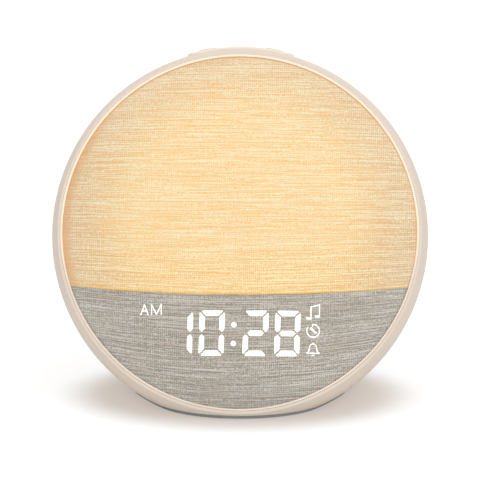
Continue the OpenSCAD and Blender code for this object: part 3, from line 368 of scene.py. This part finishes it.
# %% Boards
def lacquered_board(name, lacquer, track):
    paint = Paint(name, Roughness=0.35)
    place = paint.place()
    inputs = {"Vector": place, "Scale": 330.0, "Randomness": 0.35}
    settings = {"feature": "DISTANCE_TO_EDGE"}
    edge = paint.node("ShaderNodeTexVoronoi", settings, inputs)
    lines = paint.fade(edge, 0.04, 0.07, 1.0, 0.0)
    paint.set("Base Color", paint.mix(lines, lacquer, track))
    paint.bump(lines + paint.noise(place, 1800.0) * 0.1, 0.03 * MM, 0.5)
    return paint.material


green_board = lacquered_board("green_board_lacquer", srgb(32, 84, 56), srgb(52, 116, 78))
white_board = lacquered_board("white_board_lacquer", srgb(240, 240, 236), srgb(226, 226, 220))


# %% Windings and ribbons
def repeating(name, low, high, pitch, axis, roughness=0.45, metallic=0.0):
    paint = Paint(name, Roughness=roughness, Metallic=metallic)
    along = paint.parts(paint.place())[axis]
    ridge = (along / pitch).wave()
    wear = paint.noise(paint.place(), 500.0, 2.0)
    # Painted shade: the grooves between turns or wires get the darker colour, and the crests the
    # paler one.
    crest = paint.fade(ridge, 0.0, 0.6)
    paint.set("Base Color", paint.mix(crest, low, paint.mix(wear, shaded(high, 0.9), high)))
    paint.bump(ridge, 0.15 * pitch, 0.8)
    return paint.material


copper_winding = repeating(
    "enamelled_copper", srgb(120, 62, 28), srgb(205, 128, 70),
    pitch=0.16 * MM, axis=1, roughness=0.3, metallic=1.0,
)
flat_ribbon = repeating(
    "grey_flat_ribbon", srgb(176, 174, 168), srgb(226, 223, 215), pitch=1.0 * MM, axis=0
)
wire_sleeve = soft("red_wire_sleeve", srgb(168, 44, 36), 0.45, 0.004 * MM)
print("boards, windings and ribbons done")

# %% [markdown]
# ## Light pipes and emitters
#
# Behind the cloth, clear pipes carry the light of the digits. The ones that are on glow, and the
# ones that are off are dull grey plastic with a very faint painted glow. The lamp's own emitters
# are small yellow squares on a white board, under a milky dome that blurs them together. The
# dome's own glow is painted, as emission.

# %% Glowing and milky finishes
def glowing(name, colour, light, strength):
    paint = Paint(name, Roughness=0.3, Emission_Strength=strength)
    cloud = paint.noise(paint.place(), 700.0, 2.0)
    paint.set("Base Color", paint.mix(cloud, shaded(colour, 0.92), colour))
    paint.set("Emission Color", paint.mix(cloud, shaded(light, 0.9), light))
    paint.bump(cloud, 0.01 * MM, 0.3)
    return paint.material


lit_pipe = glowing("lit_pipe_acrylic", srgb(250, 250, 250), srgb(255, 253, 248), 1.0)
dark_pipe = glowing("dark_pipe_acrylic", srgb(140, 138, 132), srgb(120, 118, 112), 0.02)
emitter_phosphor = glowing("warm_emitter_phosphor", srgb(250, 214, 120), srgb(255, 206, 120), 1.0)
chip_phosphor = glowing("pale_emitter_phosphor", srgb(250, 244, 205), srgb(255, 250, 235), 0.8)
milky_dome = glowing("milky_diffuser", srgb(246, 240, 228), srgb(255, 214, 150), 0.4)
print("glowing finishes: 5")

# %% [markdown]
# ## A finish for each solid
#
# Every solid gets one finish. The table goes from a finish to the solids that have it, because
# most finishes cover several. A solid comes with a plain material, which is cleared first.

# %% Giving the finishes to the solids
finishes = {
    housing_plastic: ["main_housing", "rear_cover"],
    deck_plastic: ["button_deck"],
    key_plastic: ["snooze_key", "plus_key", "minus_key", "light_key", "sound_key"],
    bezel_plastic: ["bezel_ring"],
    foot_rubber: ["foot_pad"],
    milky_dome: ["light_diffuser"],
    panel_plastic: ["display_panel"],
    white_plastic: ["front_frame"],
    gloss_white: ["reflector"],
    white_board: ["light_board"],
    emitter_phosphor: ["light_emitters"],
    chip_phosphor: ["display_emitters"],
    green_board: ["display_board", "switch_board", "main_board"],
    black_plastic: [
        "segment_block", "snooze_plunger", "plus_plunger", "minus_plunger",
        "light_plunger", "sound_plunger", "switch_bodies", "cell_holder",
    ],
    lit_pipe: ["lit_segments", "lit_symbols"],
    dark_pipe: ["dark_segments", "dark_symbols"],
    chip_epoxy: ["display_driver", "control_chips"],
    aluminium_can: ["board_capacitors"],
    cell_steel: ["coin_cell"],
    nickel_shell: ["power_socket"],
    ivory_plastic: ["ribbon_sockets"],
    flat_ribbon: ["display_ribbon", "light_ribbon", "key_ribbon"],
    black_steel: ["speaker_frame"],
    zinc_steel: [
        "speaker_yoke", "rear_screws", "frame_screws", "reflector_screws", "display_screws",
        "main_board_screws", "switch_board_screws", "speaker_screws",
    ],
    ferrite: ["speaker_magnet"],
    copper_winding: ["voice_coil"],
    cone_paper: ["speaker_cone"],
    cap_film: ["dust_cap"],
    surround_rubber: ["speaker_surround"],
    gasket_foam: ["speaker_gasket"],
    wire_sleeve: ["speaker_wires"],
}
dressed = set()
for finish, names in finishes.items():
    for name in names:
        mesh = nodes[name].data
        mesh.materials.clear()
        mesh.materials.append(finish)
        dressed.add(name)
print("solids without a finish:", sorted(set(nodes) - dressed))

# %% [markdown]
# ## What the display shows
#
# The digits are the usual seven bars. They glow through the cloth, so their outlines are cut into
# the cloth's own mesh: inside them the cloth has a second material. Most sizes here are shares of
# a digit's height, and every outline ends up as a list of points that runs anticlockwise.

# %% Sizes of the display
DIGIT_H = 0.124 * 2 * CLOTH_R
DIGIT_W = 0.569 * DIGIT_H
DIGIT_PITCH = 0.711 * DIGIT_H
BAR = 0.123 * DIGIT_H
GAP = 0.024 * DIGIT_H
CORNER = 0.065 * DIGIT_H
SLANT = tan(radians(2))
BAR_ROUNDING = 0.3 * MM
LINE = 0.026 * DIGIT_H
FRAME_INNER_R = CLOTH_R - 12.2 * MM
FRAME_TO_DIGITS = 2.3 * MM
colon_x = -0.113 * DIGIT_H
colon_side = 0.491 * DIGIT_H
digit_xs = [
    colon_x - colon_side - DIGIT_PITCH, colon_x - colon_side,
    colon_x + colon_side, colon_x + colon_side + DIGIT_PITCH,
]
digits_left = DIGIT_W / 2 - digit_xs[0]
display_y = FRAME_TO_DIGITS + DIGIT_H / 2 - sqrt(FRAME_INNER_R ** 2 - digits_left ** 2)
print("digit height:", round(DIGIT_H, 5), "middle of the display:", round(display_y, 5))


# %% Moving, turning and rounding outlines
def anticlockwise(points):
    area = sum(a[0] * b[1] - a[1] * b[0] for a, b in zip(points, points[1:] + points[:1]))
    return points if area > 0 else points[::-1]


def moved(points, dx, dy):
    return [(x + dx, y + dy) for x, y in points]


def flipped(points, sx, sy):
    return [(x * sx, y * sy) for x, y in points]


def rounded(points, radius):
    """The outline with each corner replaced by a short curve."""
    result = []
    for before, corner, after in zip(points[-1:] + points[:-1], points, points[1:] + points[:1]):
        start = Vector(corner) + (Vector(before) - Vector(corner)).normalized() * radius
        end = Vector(corner) + (Vector(after) - Vector(corner)).normalized() * radius
        for t in (0.0, 0.33, 0.67, 1.0):
            point = start * (1 - t) ** 2 + Vector(corner) * 2 * t * (1 - t) + end * t ** 2
            result.append(tuple(point))
    return result


def arc(radius, start, sweep):
    steps = max(4, ceil(abs(sweep) / 15))
    angles = [radians(start + sweep * k / steps) for k in range(steps + 1)]
    return [(radius * cos(a), radius * sin(a)) for a in angles]


def dot(radius):
    return arc(radius, 0, 345)


def bow(radius, start, sweep, width):
    return arc(radius + width / 2, start, sweep) + arc(radius - width / 2, start + sweep, -sweep)


def stroke(start, end, width):
    """A straight line with square ends."""
    start, end = Vector(start), Vector(end)
    along = (end - start).normalized() * width / 2
    across = Vector((-along.y, along.x))
    start, end = start - along, end + along
    corners = (start - across, end - across, end + across, start + across)
    return [tuple(corner) for corner in corners]


# %% The seven bars of a digit
# the digit's outer corners are cut off, where the top bar meets a side bar
end_x = (DIGIT_W - CORNER) / 2
end_y = (DIGIT_H - CORNER) / 2
top_bar = [
    (end_x - GAP / 2, end_y + GAP / 2), (DIGIT_W / 2 - CORNER, DIGIT_H / 2),
    (CORNER - DIGIT_W / 2, DIGIT_H / 2), (GAP / 2 - end_x, end_y + GAP / 2),
    (-DIGIT_W / 2 + BAR + GAP, DIGIT_H / 2 - BAR), (DIGIT_W / 2 - BAR - GAP, DIGIT_H / 2 - BAR),
]
side_bar = [
    (DIGIT_W / 2, BAR / 2 + GAP), (DIGIT_W / 2, DIGIT_H / 2 - CORNER),
    (end_x + GAP / 2, end_y - GAP / 2), (DIGIT_W / 2 - BAR, DIGIT_H / 2 - BAR - GAP),
    (DIGIT_W / 2 - BAR, BAR / 2 + GAP), (DIGIT_W / 2 - BAR / 2, GAP),
]
bar_end = DIGIT_W / 2 - BAR / 2 - GAP * 1.5
middle_bar = [
    (-bar_end, 0), (BAR / 2 - bar_end, BAR / 2), (bar_end - BAR / 2, BAR / 2),
    (bar_end, 0), (bar_end - BAR / 2, -BAR / 2), (BAR / 2 - bar_end, -BAR / 2),
]
bars = [
    top_bar, side_bar, flipped(side_bar, 1, -1), flipped(top_bar, 1, -1),
    flipped(side_bar, -1, -1), flipped(side_bar, -1, 1), middle_bar,
]
# bars that are on, in the order top, then clockwise, then the middle
shown = ["0110000", "1111110", "1101101", "1111111"]

lit_shapes = []
for digit_x, pattern in zip(digit_xs, shown):
    for bar, state in zip(bars, pattern):
        if state == "1":
            slanted = [(x + y * SLANT, y) for x, y in rounded(anticlockwise(bar), BAR_ROUNDING)]
            lit_shapes.append(moved(slanted, digit_x, display_y))
colon_y = display_y - 0.022 * DIGIT_H
for side in (-1, 1):
    dot_y = side * 0.205 * DIGIT_H
    lit_shapes.append(moved(dot(0.061 * DIGIT_H), colon_x + dot_y * SLANT, colon_y + dot_y))
print("bars and dots:", len(lit_shapes))

# %% [markdown]
# ## Letters and symbols
#
# The half-day letters and the three symbols are line drawings, made from straight strokes and
# bows. Strokes may overlap: the mesh maker sorts that out later.

# %% Letters and symbols
letter_h = 0.216 * DIGIT_H
foot = 0.371 * letter_h
letter_a = [
    stroke((-foot, 0), (0, letter_h), LINE),
    stroke((foot, 0), (0, letter_h), LINE),
    stroke((-0.6 * foot, 0.36 * letter_h), (0.6 * foot, 0.36 * letter_h), LINE),
]
foot = 0.507 * letter_h
letter_m = [
    stroke((-foot, 0), (-foot, letter_h), LINE),
    stroke((foot, 0), (foot, letter_h), LINE),
    stroke((-foot, letter_h), (0, 0), LINE),
    stroke((foot, letter_h), (0, 0), LINE),
]
letters_x = digit_xs[0] - 0.667 * DIGIT_H
letters_y = display_y + 0.528 * DIGIT_H - letter_h / 2
lit_shapes += [moved(line, letters_x - 0.629 * letter_h, letters_y) for line in letter_a]
lit_shapes += [moved(line, letters_x + 0.629 * letter_h, letters_y) for line in letter_m]

half = 0.154 * DIGIT_H


def drawn(*places, width=LINE):
    """A line through places given in halves of a symbol."""
    points = [(x * half, y * half) for x, y in places]
    return [stroke(start, end, width) for start, end in zip(points, points[1:])]


note = drawn((-0.33, -0.81), (-0.33, 0.82), (0.91, 1.14), (0.91, -0.52))
note += drawn((-0.83, -0.81), (-0.4, -0.81), width=0.15 * half + LINE)
note += drawn((0.41, -0.52), (0.84, -0.52), width=0.15 * half + LINE)
dial = [bow(0.92 * half, 144, 314, LINE)]
dial += drawn((-0.1, 0.9), (-0.08, 0.65))
dial += drawn((-0.28, 0.31), (0.36, -0.26), width=0.15 * half + LINE)
bell = [moved(bow(0.5 * half, 0, 180, LINE), 0, 0.22 * half)]
bell.append(moved(dot(0.6 * LINE), 0, 0.82 * half))
for side in (-1, 1):
    bell += drawn((0.5 * side, 0.22), (0.62 * side, -0.32), (0.88 * side, -0.6), (0, -0.6))
bell += drawn((-0.14, -0.93), (0.14, -0.93))
symbols_x = digit_xs[3] + 0.577 * DIGIT_H
symbols_y = display_y + 0.067 * DIGIT_H
for row, symbol in zip((1, 0, -1), (note, dial, bell)):
    lit_shapes += [moved(line, symbols_x, symbols_y + row * 0.399 * DIGIT_H) for line in symbol]
lit_shapes = [anticlockwise(shape) for shape in lit_shapes]
print("lit outlines:", len(lit_shapes))

# %% [markdown]
# ## The woven front
#
# One piece of cloth is stretched over the dome and held behind the rim. It is a single thin sheet,
# so it is made as one surface: a close net of points across the face, with the lit outlines cut
# in, lifted onto the dome and carried back at the rim. `delaunay_2d_cdt` joins any set of points
# and outlines into triangles and tells which outline each triangle lies in.

# %% Points across the face
DOME_HEIGHT = 17 * MM
DOME_R = (CLOTH_R ** 2 + DOME_HEIGHT ** 2) / (2 * DOME_HEIGHT)
NET = 1.6 * MM
# the rows of the net are this share of its pitch apart
ROW_SHARE = 0.87

points = []
rim_steps = 300
for k in range(rim_steps):
    turn = 2 * pi * k / rim_steps
    points.append((CLOTH_R * cos(turn), CLOTH_R * sin(turn)))
rows = ceil(CLOTH_R / NET)
for j in range(-rows, rows + 1):
    for i in range(-rows - 1, rows + 1):
        x, y = (i + 0.5 * (j % 2)) * NET, j * NET * ROW_SHARE
        if hypot(x, y) < CLOTH_R - 0.6 * NET:
            points.append((x, y))
outlines = [list(range(rim_steps))]
for shape in lit_shapes:
    outlines.append(list(range(len(points), len(points) + len(shape))))
    points += shape
net_points, _, triangles, _, _, inside = delaunay_2d_cdt(
    [Vector(p) for p in points], [], outlines, 1, 1e-7
)
print("points:", len(net_points), "triangles:", len(triangles))


# %% [markdown]
# The threads across the cloth don't run straight. Stretching pulled them into shallow bowls, and
# more so towards the bottom. The second thread coordinate therefore takes a little off for each
# step sideways, and the weave painted in it bends by itself.

# %% Lifting the net onto the dome
SAG = 0.52
SAG_FADE = 40 * MM
SAG_END = -46 * MM


def dome_point(x, y):
    lift = sqrt(max(DOME_R ** 2 - x * x - y * y, 0)) - (DOME_R - DOME_HEIGHT)
    return FACE @ Vector((x, y, lift))


def thread_place(x, y):
    sag = SAG * exp(-max(y, SAG_END) / SAG_FADE)
    return x, y - sag * x * x


cloth_mesh = bpy.data.meshes.new("woven_front")
shape = bmesh.new()
weave_uv = shape.loops.layers.uv.new("weave")
face_uv = shape.loops.layers.uv.new("face")
flat_place = {}
corners = []
for point in net_points:
    corner = shape.verts.new(dome_point(*point))
    flat_place[corner] = tuple(point)
    corners.append(corner)
for triangle, sources in zip(triangles, inside):
    face = shape.faces.new([corners[k] for k in triangle])
    face.material_index = int(any(source > 0 for source in sources))
rim = sorted(
    (c for c in corners if hypot(*flat_place[c]) > CLOTH_R - 1e-6),
    key=lambda c: atan2(flat_place[c][1], flat_place[c][0]),
)
ring = rim
for depth in (0.35, 1.0):
    lower = []
    spread = 1 + depth * SKIRT / CLOTH_R
    for upper in rim:
        x, y = flat_place[upper]
        corner = shape.verts.new(FACE @ Vector((x, y, -SKIRT * depth)))
        flat_place[corner] = (x * spread, y * spread)
        lower.append(corner)
    for k in range(len(rim)):
        n = (k + 1) % len(rim)
        shape.faces.new((ring[k], lower[k], lower[n], ring[n]))
    ring = lower
for face in shape.faces:
    face.smooth = True
    for loop in face.loops:
        loop[face_uv].uv = flat_place[loop.vert]
        loop[weave_uv].uv = thread_place(*flat_place[loop.vert])
shape.to_mesh(cloth_mesh)
shape.free()
cloth = bpy.data.objects.new("woven_front", cloth_mesh)
bpy.context.scene.collection.objects.link(cloth)
cloth_area = sum(polygon.area for polygon in cloth_mesh.polygons)
print("cloth faces:", len(cloth_mesh.polygons), "area:", round(cloth_area, 6))

# %% [markdown]
# ## The weave
#
# Each weft thread is a slub yarn: it swells, thins and changes shade along its length. So every
# thread gets its own noise, drawn out along the thread, and the shade also falls where the next
# thread up is pale, so that neighbours stand apart. Here and there a stretch of yarn is brown. The
# warp is more even, and every second warp thread is a little paler. A plain weave sends each
# thread over one neighbour and under the next, like a chessboard, and the bump follows that. A
# picture of cloth would be simpler, but it would repeat, and it would blur close up.

# %% Noise along one thread
WEFT_PITCH = 0.36 * MM
WARP_PITCH = 0.43 * MM
# how often the noise changes in a metre, its step from thread to thread, and its layer
BATCH = (25, 7.31, 0.0)
SLUB = (125, 5.13, 7.0)
FLECK = (1700, 3.17, 4.0)
RUST = (60, 9.13, 21.0)


def along_thread(paint, across, number, kind):
    rate, step, layer = kind
    return paint.noise(paint.join(across * rate, number * step, layer), 1.0, 0.0)


print("weft threads on the face:", round(2 * CLOTH_R / WEFT_PITCH))

# %% Threads
WANDER = 0.8 * MM
WANDER_ACROSS, WANDER_UP = 40, 90
COLUMN_STEP, COLUMN_RATE, COLUMN_LAYER = 5.7, 140, 2.0
# how much each part of the weave adds to the yarn's shade
BATCH_SHARE, SLUB_SHARE, FLECK_SHARE = 0.42, 0.3, 0.38
NEIGHBOUR_SHARE, COLUMN_SHARE, OVER_SHARE, PAIR_SHARE = 0.4, 0.07, 0.06, 0.08
SHADE_FROM, SHADE_TO = 0.4165, 0.6265
RUST_FROM, RUST_TO, RUST_MOST = 0.58, 0.7, 0.5
# the height of a warp thread, and how the height is made up of the weave and the slubs
WARP_HEIGHT, WEAVE_HEIGHT, SLUB_HEIGHT = 0.8, 0.7, 0.3


def woven(paint):
    """The yarn's shade, 0 dark to 1 pale, the threads' height, and where the yarn is brown."""
    across, up, _ = paint.parts(paint.node("ShaderNodeUVMap", {"uv_map": "weave"}))
    wander = paint.noise(paint.join(across * WANDER_ACROSS, up * WANDER_UP), 1.0, 1.0) - 0.5
    weft = (up + wander * WANDER) / WEFT_PITCH
    warp = across / WARP_PITCH
    thread = weft.floor()

    def yarn_of(number):
        batch = along_thread(paint, across, number, BATCH)
        return batch * BATCH_SHARE + along_thread(paint, across, number, SLUB) * SLUB_SHARE

    own = yarn_of(thread)
    neighbour = yarn_of(thread + 1)
    fleck = along_thread(paint, across, thread, FLECK)
    column_place = paint.join(warp.floor() * COLUMN_STEP, up * COLUMN_RATE, COLUMN_LAYER)
    column = paint.noise(column_place, 1.0, 1.0)
    over = ((thread + warp.floor()) * 0.5).math("FRACT") * 2
    pair = (warp.floor() * 0.5).math("FRACT") * 2
    shade = own - neighbour * NEIGHBOUR_SHARE + fleck * FLECK_SHARE + column * COLUMN_SHARE
    shade = shade + over * OVER_SHARE + pair * PAIR_SHARE
    height = (weft.wave() * over).at_least(warp.wave() * (1 - over) * WARP_HEIGHT)
    height = height * WEAVE_HEIGHT + along_thread(paint, across, thread, SLUB) * SLUB_HEIGHT
    rust = along_thread(paint, across, thread, RUST)
    brown = paint.fade(rust, RUST_FROM, RUST_TO, 0.0, RUST_MOST)
    return paint.fade(shade, SHADE_FROM, SHADE_TO), height, brown


# %% [markdown]
# ## Lamp and display behind the cloth
#
# The cloth itself is the same warm grey everywhere. Above the divider the lamp shines through it:
# dark yarn glows a strong orange, and pale yarn a weaker yellow, as it is bright already. The
# light fades towards the rim, where the emitters are further away, and is a deeper orange in the
# lowest part, above the divider. The yellow line where the cloth touches the divider is painted
# light, in the yarn's colour and in its emission. Above the divider the lamp's light is also
# painted into the yarn's colour, as a slight warm tint. There the cloth next to the ring is
# painted darker, as shade from the ring, most at the top and widest on the left. Towards the rim
# the yarn is painted a little paler, as a sheen.
#
# Light that really went through the threads would need many samples to come out smooth. So the
# glow is painted as the cloth's own emission, in the colours that each kind of place shows. The
# emitters behind it are there as solids, and add nothing to it.

# %% Cloth colours
THREAD_DARK, THREAD_PALE = srgb(144, 138, 126), srgb(210, 204, 194)
THREAD_BROWN = srgb(182, 162, 142)
# each pair is for the darkest and for the palest yarn
GLOW = (0.665, 0.323, 0.028, 1), (0.295, 0.248, 0.05, 1)
GLOW_LOW = (0.57, 0.28, 0.006, 1), (0.41, 0.26, 0.006, 1)
GLOW_DIM = (0.36, 0.155, 0.0, 1), (0.2, 0.13, 0.015, 1)
GLOW_LINE, GLOW_RIM = (0.415, 0.3, 0.047, 1), (0.42, 0.16, 0.0, 1)
DIGIT_LIGHT = (0.75, 0.75, 0.74, 1), (0.95, 0.95, 0.94, 1)


def cloth_finish(name):
    paint = Paint(name, Roughness=0.86, Sheen_Weight=0.15, Emission_Strength=1.0)
    shade, height, brown = woven(paint)
    paint.bump(height, 0.12 * MM, 0.5)
    yarn = paint.mix(shade, THREAD_DARK, THREAD_PALE)
    return paint, shade, paint.mix(brown, yarn, THREAD_BROWN)


paint, shade, yarn = cloth_finish("woven_cloth")
print("woven cloth started")

# %% Where the lamp, the dividing line and the rim are
SEAM_HEIGHT = FACE_HEIGHT - 20.9 * MM
SEAM_LINE = 0.5 * MM
SEAM_DROP, SEAM_BOW = 0.25 * MM, 0.19
LEFT_FROM, LEFT_TO = -66 * MM, -50 * MM

x, _, z = paint.parts(paint.place())
z = z + x * x * SEAM_BOW + SEAM_DROP
face_x, face_up, _ = paint.parts(paint.node("ShaderNodeUVMap", {"uv_map": "face"}))
upper = paint.fade(z, SEAM_HEIGHT - 0.1 * MM, SEAM_HEIGHT + 0.1 * MM)
line_end = SEAM_HEIGHT + 0.8 * SEAM_LINE, SEAM_HEIGHT + 1.2 * SEAM_LINE
# The line where the cloth touches the divider is a line of painted light.
line = upper * paint.fade(z, *line_end, 1.0, 0.0)
radius = (face_x * face_x + face_up * face_up).math("SQRT")
# Painted shade: above the divider the cloth next to the ring is made darker, most at the top and
# wider on the left.
ring_shade = paint.fade(face_up, 0.1 * CLOTH_R, 0.8 * CLOTH_R, 0.3, 1.0)
ring_shade = ring_shade * paint.fade(radius, CLOTH_R - 0.7 * MM, CLOTH_R - 0.2 * MM)
left = paint.fade(x, LEFT_FROM, LEFT_TO, 0.6, 0.0)
rim = upper * ring_shade.at_least(left * paint.fade(radius, CLOTH_R - 5 * MM, CLOTH_R - 1.5 * MM))
print("dividing line at", round(SEAM_HEIGHT, 4))

# %% Colour of the cloth
RIM_PAINTED_SHEEN = 0.04

# Painted sheen: towards the rim the yarn is mixed a little towards white.
yarn = paint.mix(paint.fade(radius, 0.75 * CLOTH_R, CLOTH_R, 0.0, RIM_PAINTED_SHEEN), yarn, WHITE)
# Painted lamp light: above the divider the yarn's colour gets a slight warm tint.
yarn = paint.mix(upper, yarn, (1.0, 0.99, 0.95, 1), "MULTIPLY")
# Painted light: the yellow line along the divider, in the yarn's colour here and in the glow below.
yarn = paint.mix(line, yarn, srgb(190, 140, 50))
# Painted shade next to the ring: there the yarn turns a darker brown.
paint.set("Base Color", paint.mix(rim, yarn, srgb(150, 137, 122)))
print("cloth coloured")

# %% Glow of the cloth
LAMP_MIDDLE = 6 * MM
CLOUD_REACH = 10 * MM

from_lamp_up = face_up - LAMP_MIDDLE
from_lamp = (face_x * face_x + from_lamp_up * from_lamp_up).math("SQRT")
cloud = paint.noise(paint.place(), 14.0, 2.0)
falloff = paint.fade(from_lamp + (cloud - 0.5) * CLOUD_REACH, 0.5 * CLOTH_R, 1.1 * CLOTH_R)
low = paint.fade(z, SEAM_HEIGHT + 10 * MM, SEAM_HEIGHT + 22 * MM, 0.7, 0.0)
glow = paint.mix(low, paint.mix(shade, *GLOW), paint.mix(shade, *GLOW_LOW))
glow = paint.mix(falloff, glow, paint.mix(shade, *GLOW_DIM))
# Painted light along the divider.
glow = paint.mix(line, glow, GLOW_LINE)
# In the painted shade next to the ring the glow is a deeper orange.
glow = paint.mix(rim, glow, GLOW_RIM)
paint.set("Emission Color", paint.mix(upper, BLACK, glow))
woven_cloth = paint.material
print("cloth glows above the divider")

# %% Cloth over the lit digits
paint, shade, yarn = cloth_finish("woven_cloth_lit_digits")
paint.set("Base Color", yarn)
paint.set("Emission Color", paint.mix(shade, *DIGIT_LIGHT))
digit_cloth = paint.material

cloth_mesh.materials.append(woven_cloth)
cloth_mesh.materials.append(digit_cloth)
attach(cloth, "clock")
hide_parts("fabric_cover")
print("cloth finished")

# %% [markdown]
# ## The studio
#
# The clock stands on a plain white floor under a soft white sky. Rays from the camera see the sky
# as plain white, and so do reflections. All other rays see a dimmer sky, so that the lamps can
# shape the object. One large softbox from the upper right and a weaker one from the left
# give the round body its shape. A long low one in front lights the underside of the rim, and one
# overhead lights the deck.
#
# The floor is painted in part too. The camera sees a dark grey with an emission that brings it up
# to white, except in an ellipse under the clock, which makes the shadow wide and soft. Light that
# bounces off the floor meets a plain pale floor.

# %% Sky
AMBIENT = 0.66
world = bpy.data.worlds.new("studio_sky")
bpy.context.scene.world = world
world.use_nodes = True
sky = Tree(world.node_tree)
rays = sky.node("ShaderNodeLightPath").socket.node.outputs
seen = Value(sky, rays["Is Camera Ray"]).at_least(Value(sky, rays["Is Transmission Ray"]))
seen = seen.at_least(Value(sky, rays["Is Glossy Ray"]))
background = world.node_tree.nodes["Background"]
sky.connect(background.inputs["Color"], WHITE)
sky.connect(background.inputs["Strength"], seen * (1 - AMBIENT) + AMBIENT)
print("sky outside the camera's view:", AMBIENT)

# %% Floor
FLOOR_HALF = 3.0

floor_mesh = bpy.data.meshes.new("studio_floor")
signs = ((-1, -1), (1, -1), (1, 1), (-1, 1))
floor_corners = [(sx * FLOOR_HALF, sy * FLOOR_HALF, 0) for sx, sy in signs]
floor_mesh.from_pydata(floor_corners, [], [(0, 1, 2, 3)])
floor = bpy.data.objects.new("studio_floor", floor_mesh)
bpy.context.scene.collection.objects.link(floor)
print("floor is", 2 * FLOOR_HALF, "m across")

# %% Floor finish
SHADOW_HALF_WIDTH, SHADOW_HALF_DEPTH = 106 * MM, 67 * MM
SHADOW_MIDDLE = -19 * MM
SHADOW_LIFT, NEAR_LIFT, FAR_LIFT = (0.415, 0.366, 0.325, 1), grey(0.72), grey(0.82)

paint = Paint("white_studio_floor", Roughness=0.9, Specular_IOR_Level=0.0, Emission_Strength=1.0)
grain = paint.noise(paint.place(), 30.0)
seen = paint.node("ShaderNodeLightPath", output="Is Camera Ray")
bounced = paint.mix(grain, grey(0.86), grey(0.88))
paint.set("Base Color", paint.mix(seen, bounced, grey(0.34)))
x, y, _ = paint.parts(paint.place())
side, front = x / SHADOW_HALF_WIDTH, (y - SHADOW_MIDDLE) / SHADOW_HALF_DEPTH
away = (side * side + front * front).math("SQRT")
lift = paint.mix(paint.fade(away, 0.53, 0.8), SHADOW_LIFT, NEAR_LIFT)
lift = paint.mix(paint.fade(away, 1.0, 1.8), lift, FAR_LIFT)
paint.set("Emission Color", paint.mix(seen, BLACK, lift))
floor_mesh.materials.append(paint.material)
print("floor finish done")


# %% Softboxes
def softbox(name, place, size, power, aim=(0, 0, 0.07)):
    lamp = bpy.data.lights.new(name, "AREA")
    lamp.shape = "RECTANGLE"
    lamp.size, lamp.size_y = size
    lamp.energy = power
    holder = bpy.data.objects.new(name, lamp)
    holder.location = place
    holder.rotation_mode = "QUATERNION"
    holder.rotation_quaternion = (Vector(aim) - Vector(place)).to_track_quat("-Z", "Y")
    bpy.context.scene.collection.objects.link(holder)


softbox("key_softbox", (0.85, -0.8, 1.1), (1.1, 1.1), 5.1)
softbox("left_softbox", (-0.85, -0.8, 1.1), (1.1, 1.1), 1.6)
softbox("front_softbox", (0.0, -1.3, 0.12), (1.6, 0.22), 2.6)
softbox("top_softbox", (0.0, 0.3, 1.5), (1.2, 1.2), 5.4)
bpy.context.scene.view_settings.view_transform = "Standard"
print("studio ready")
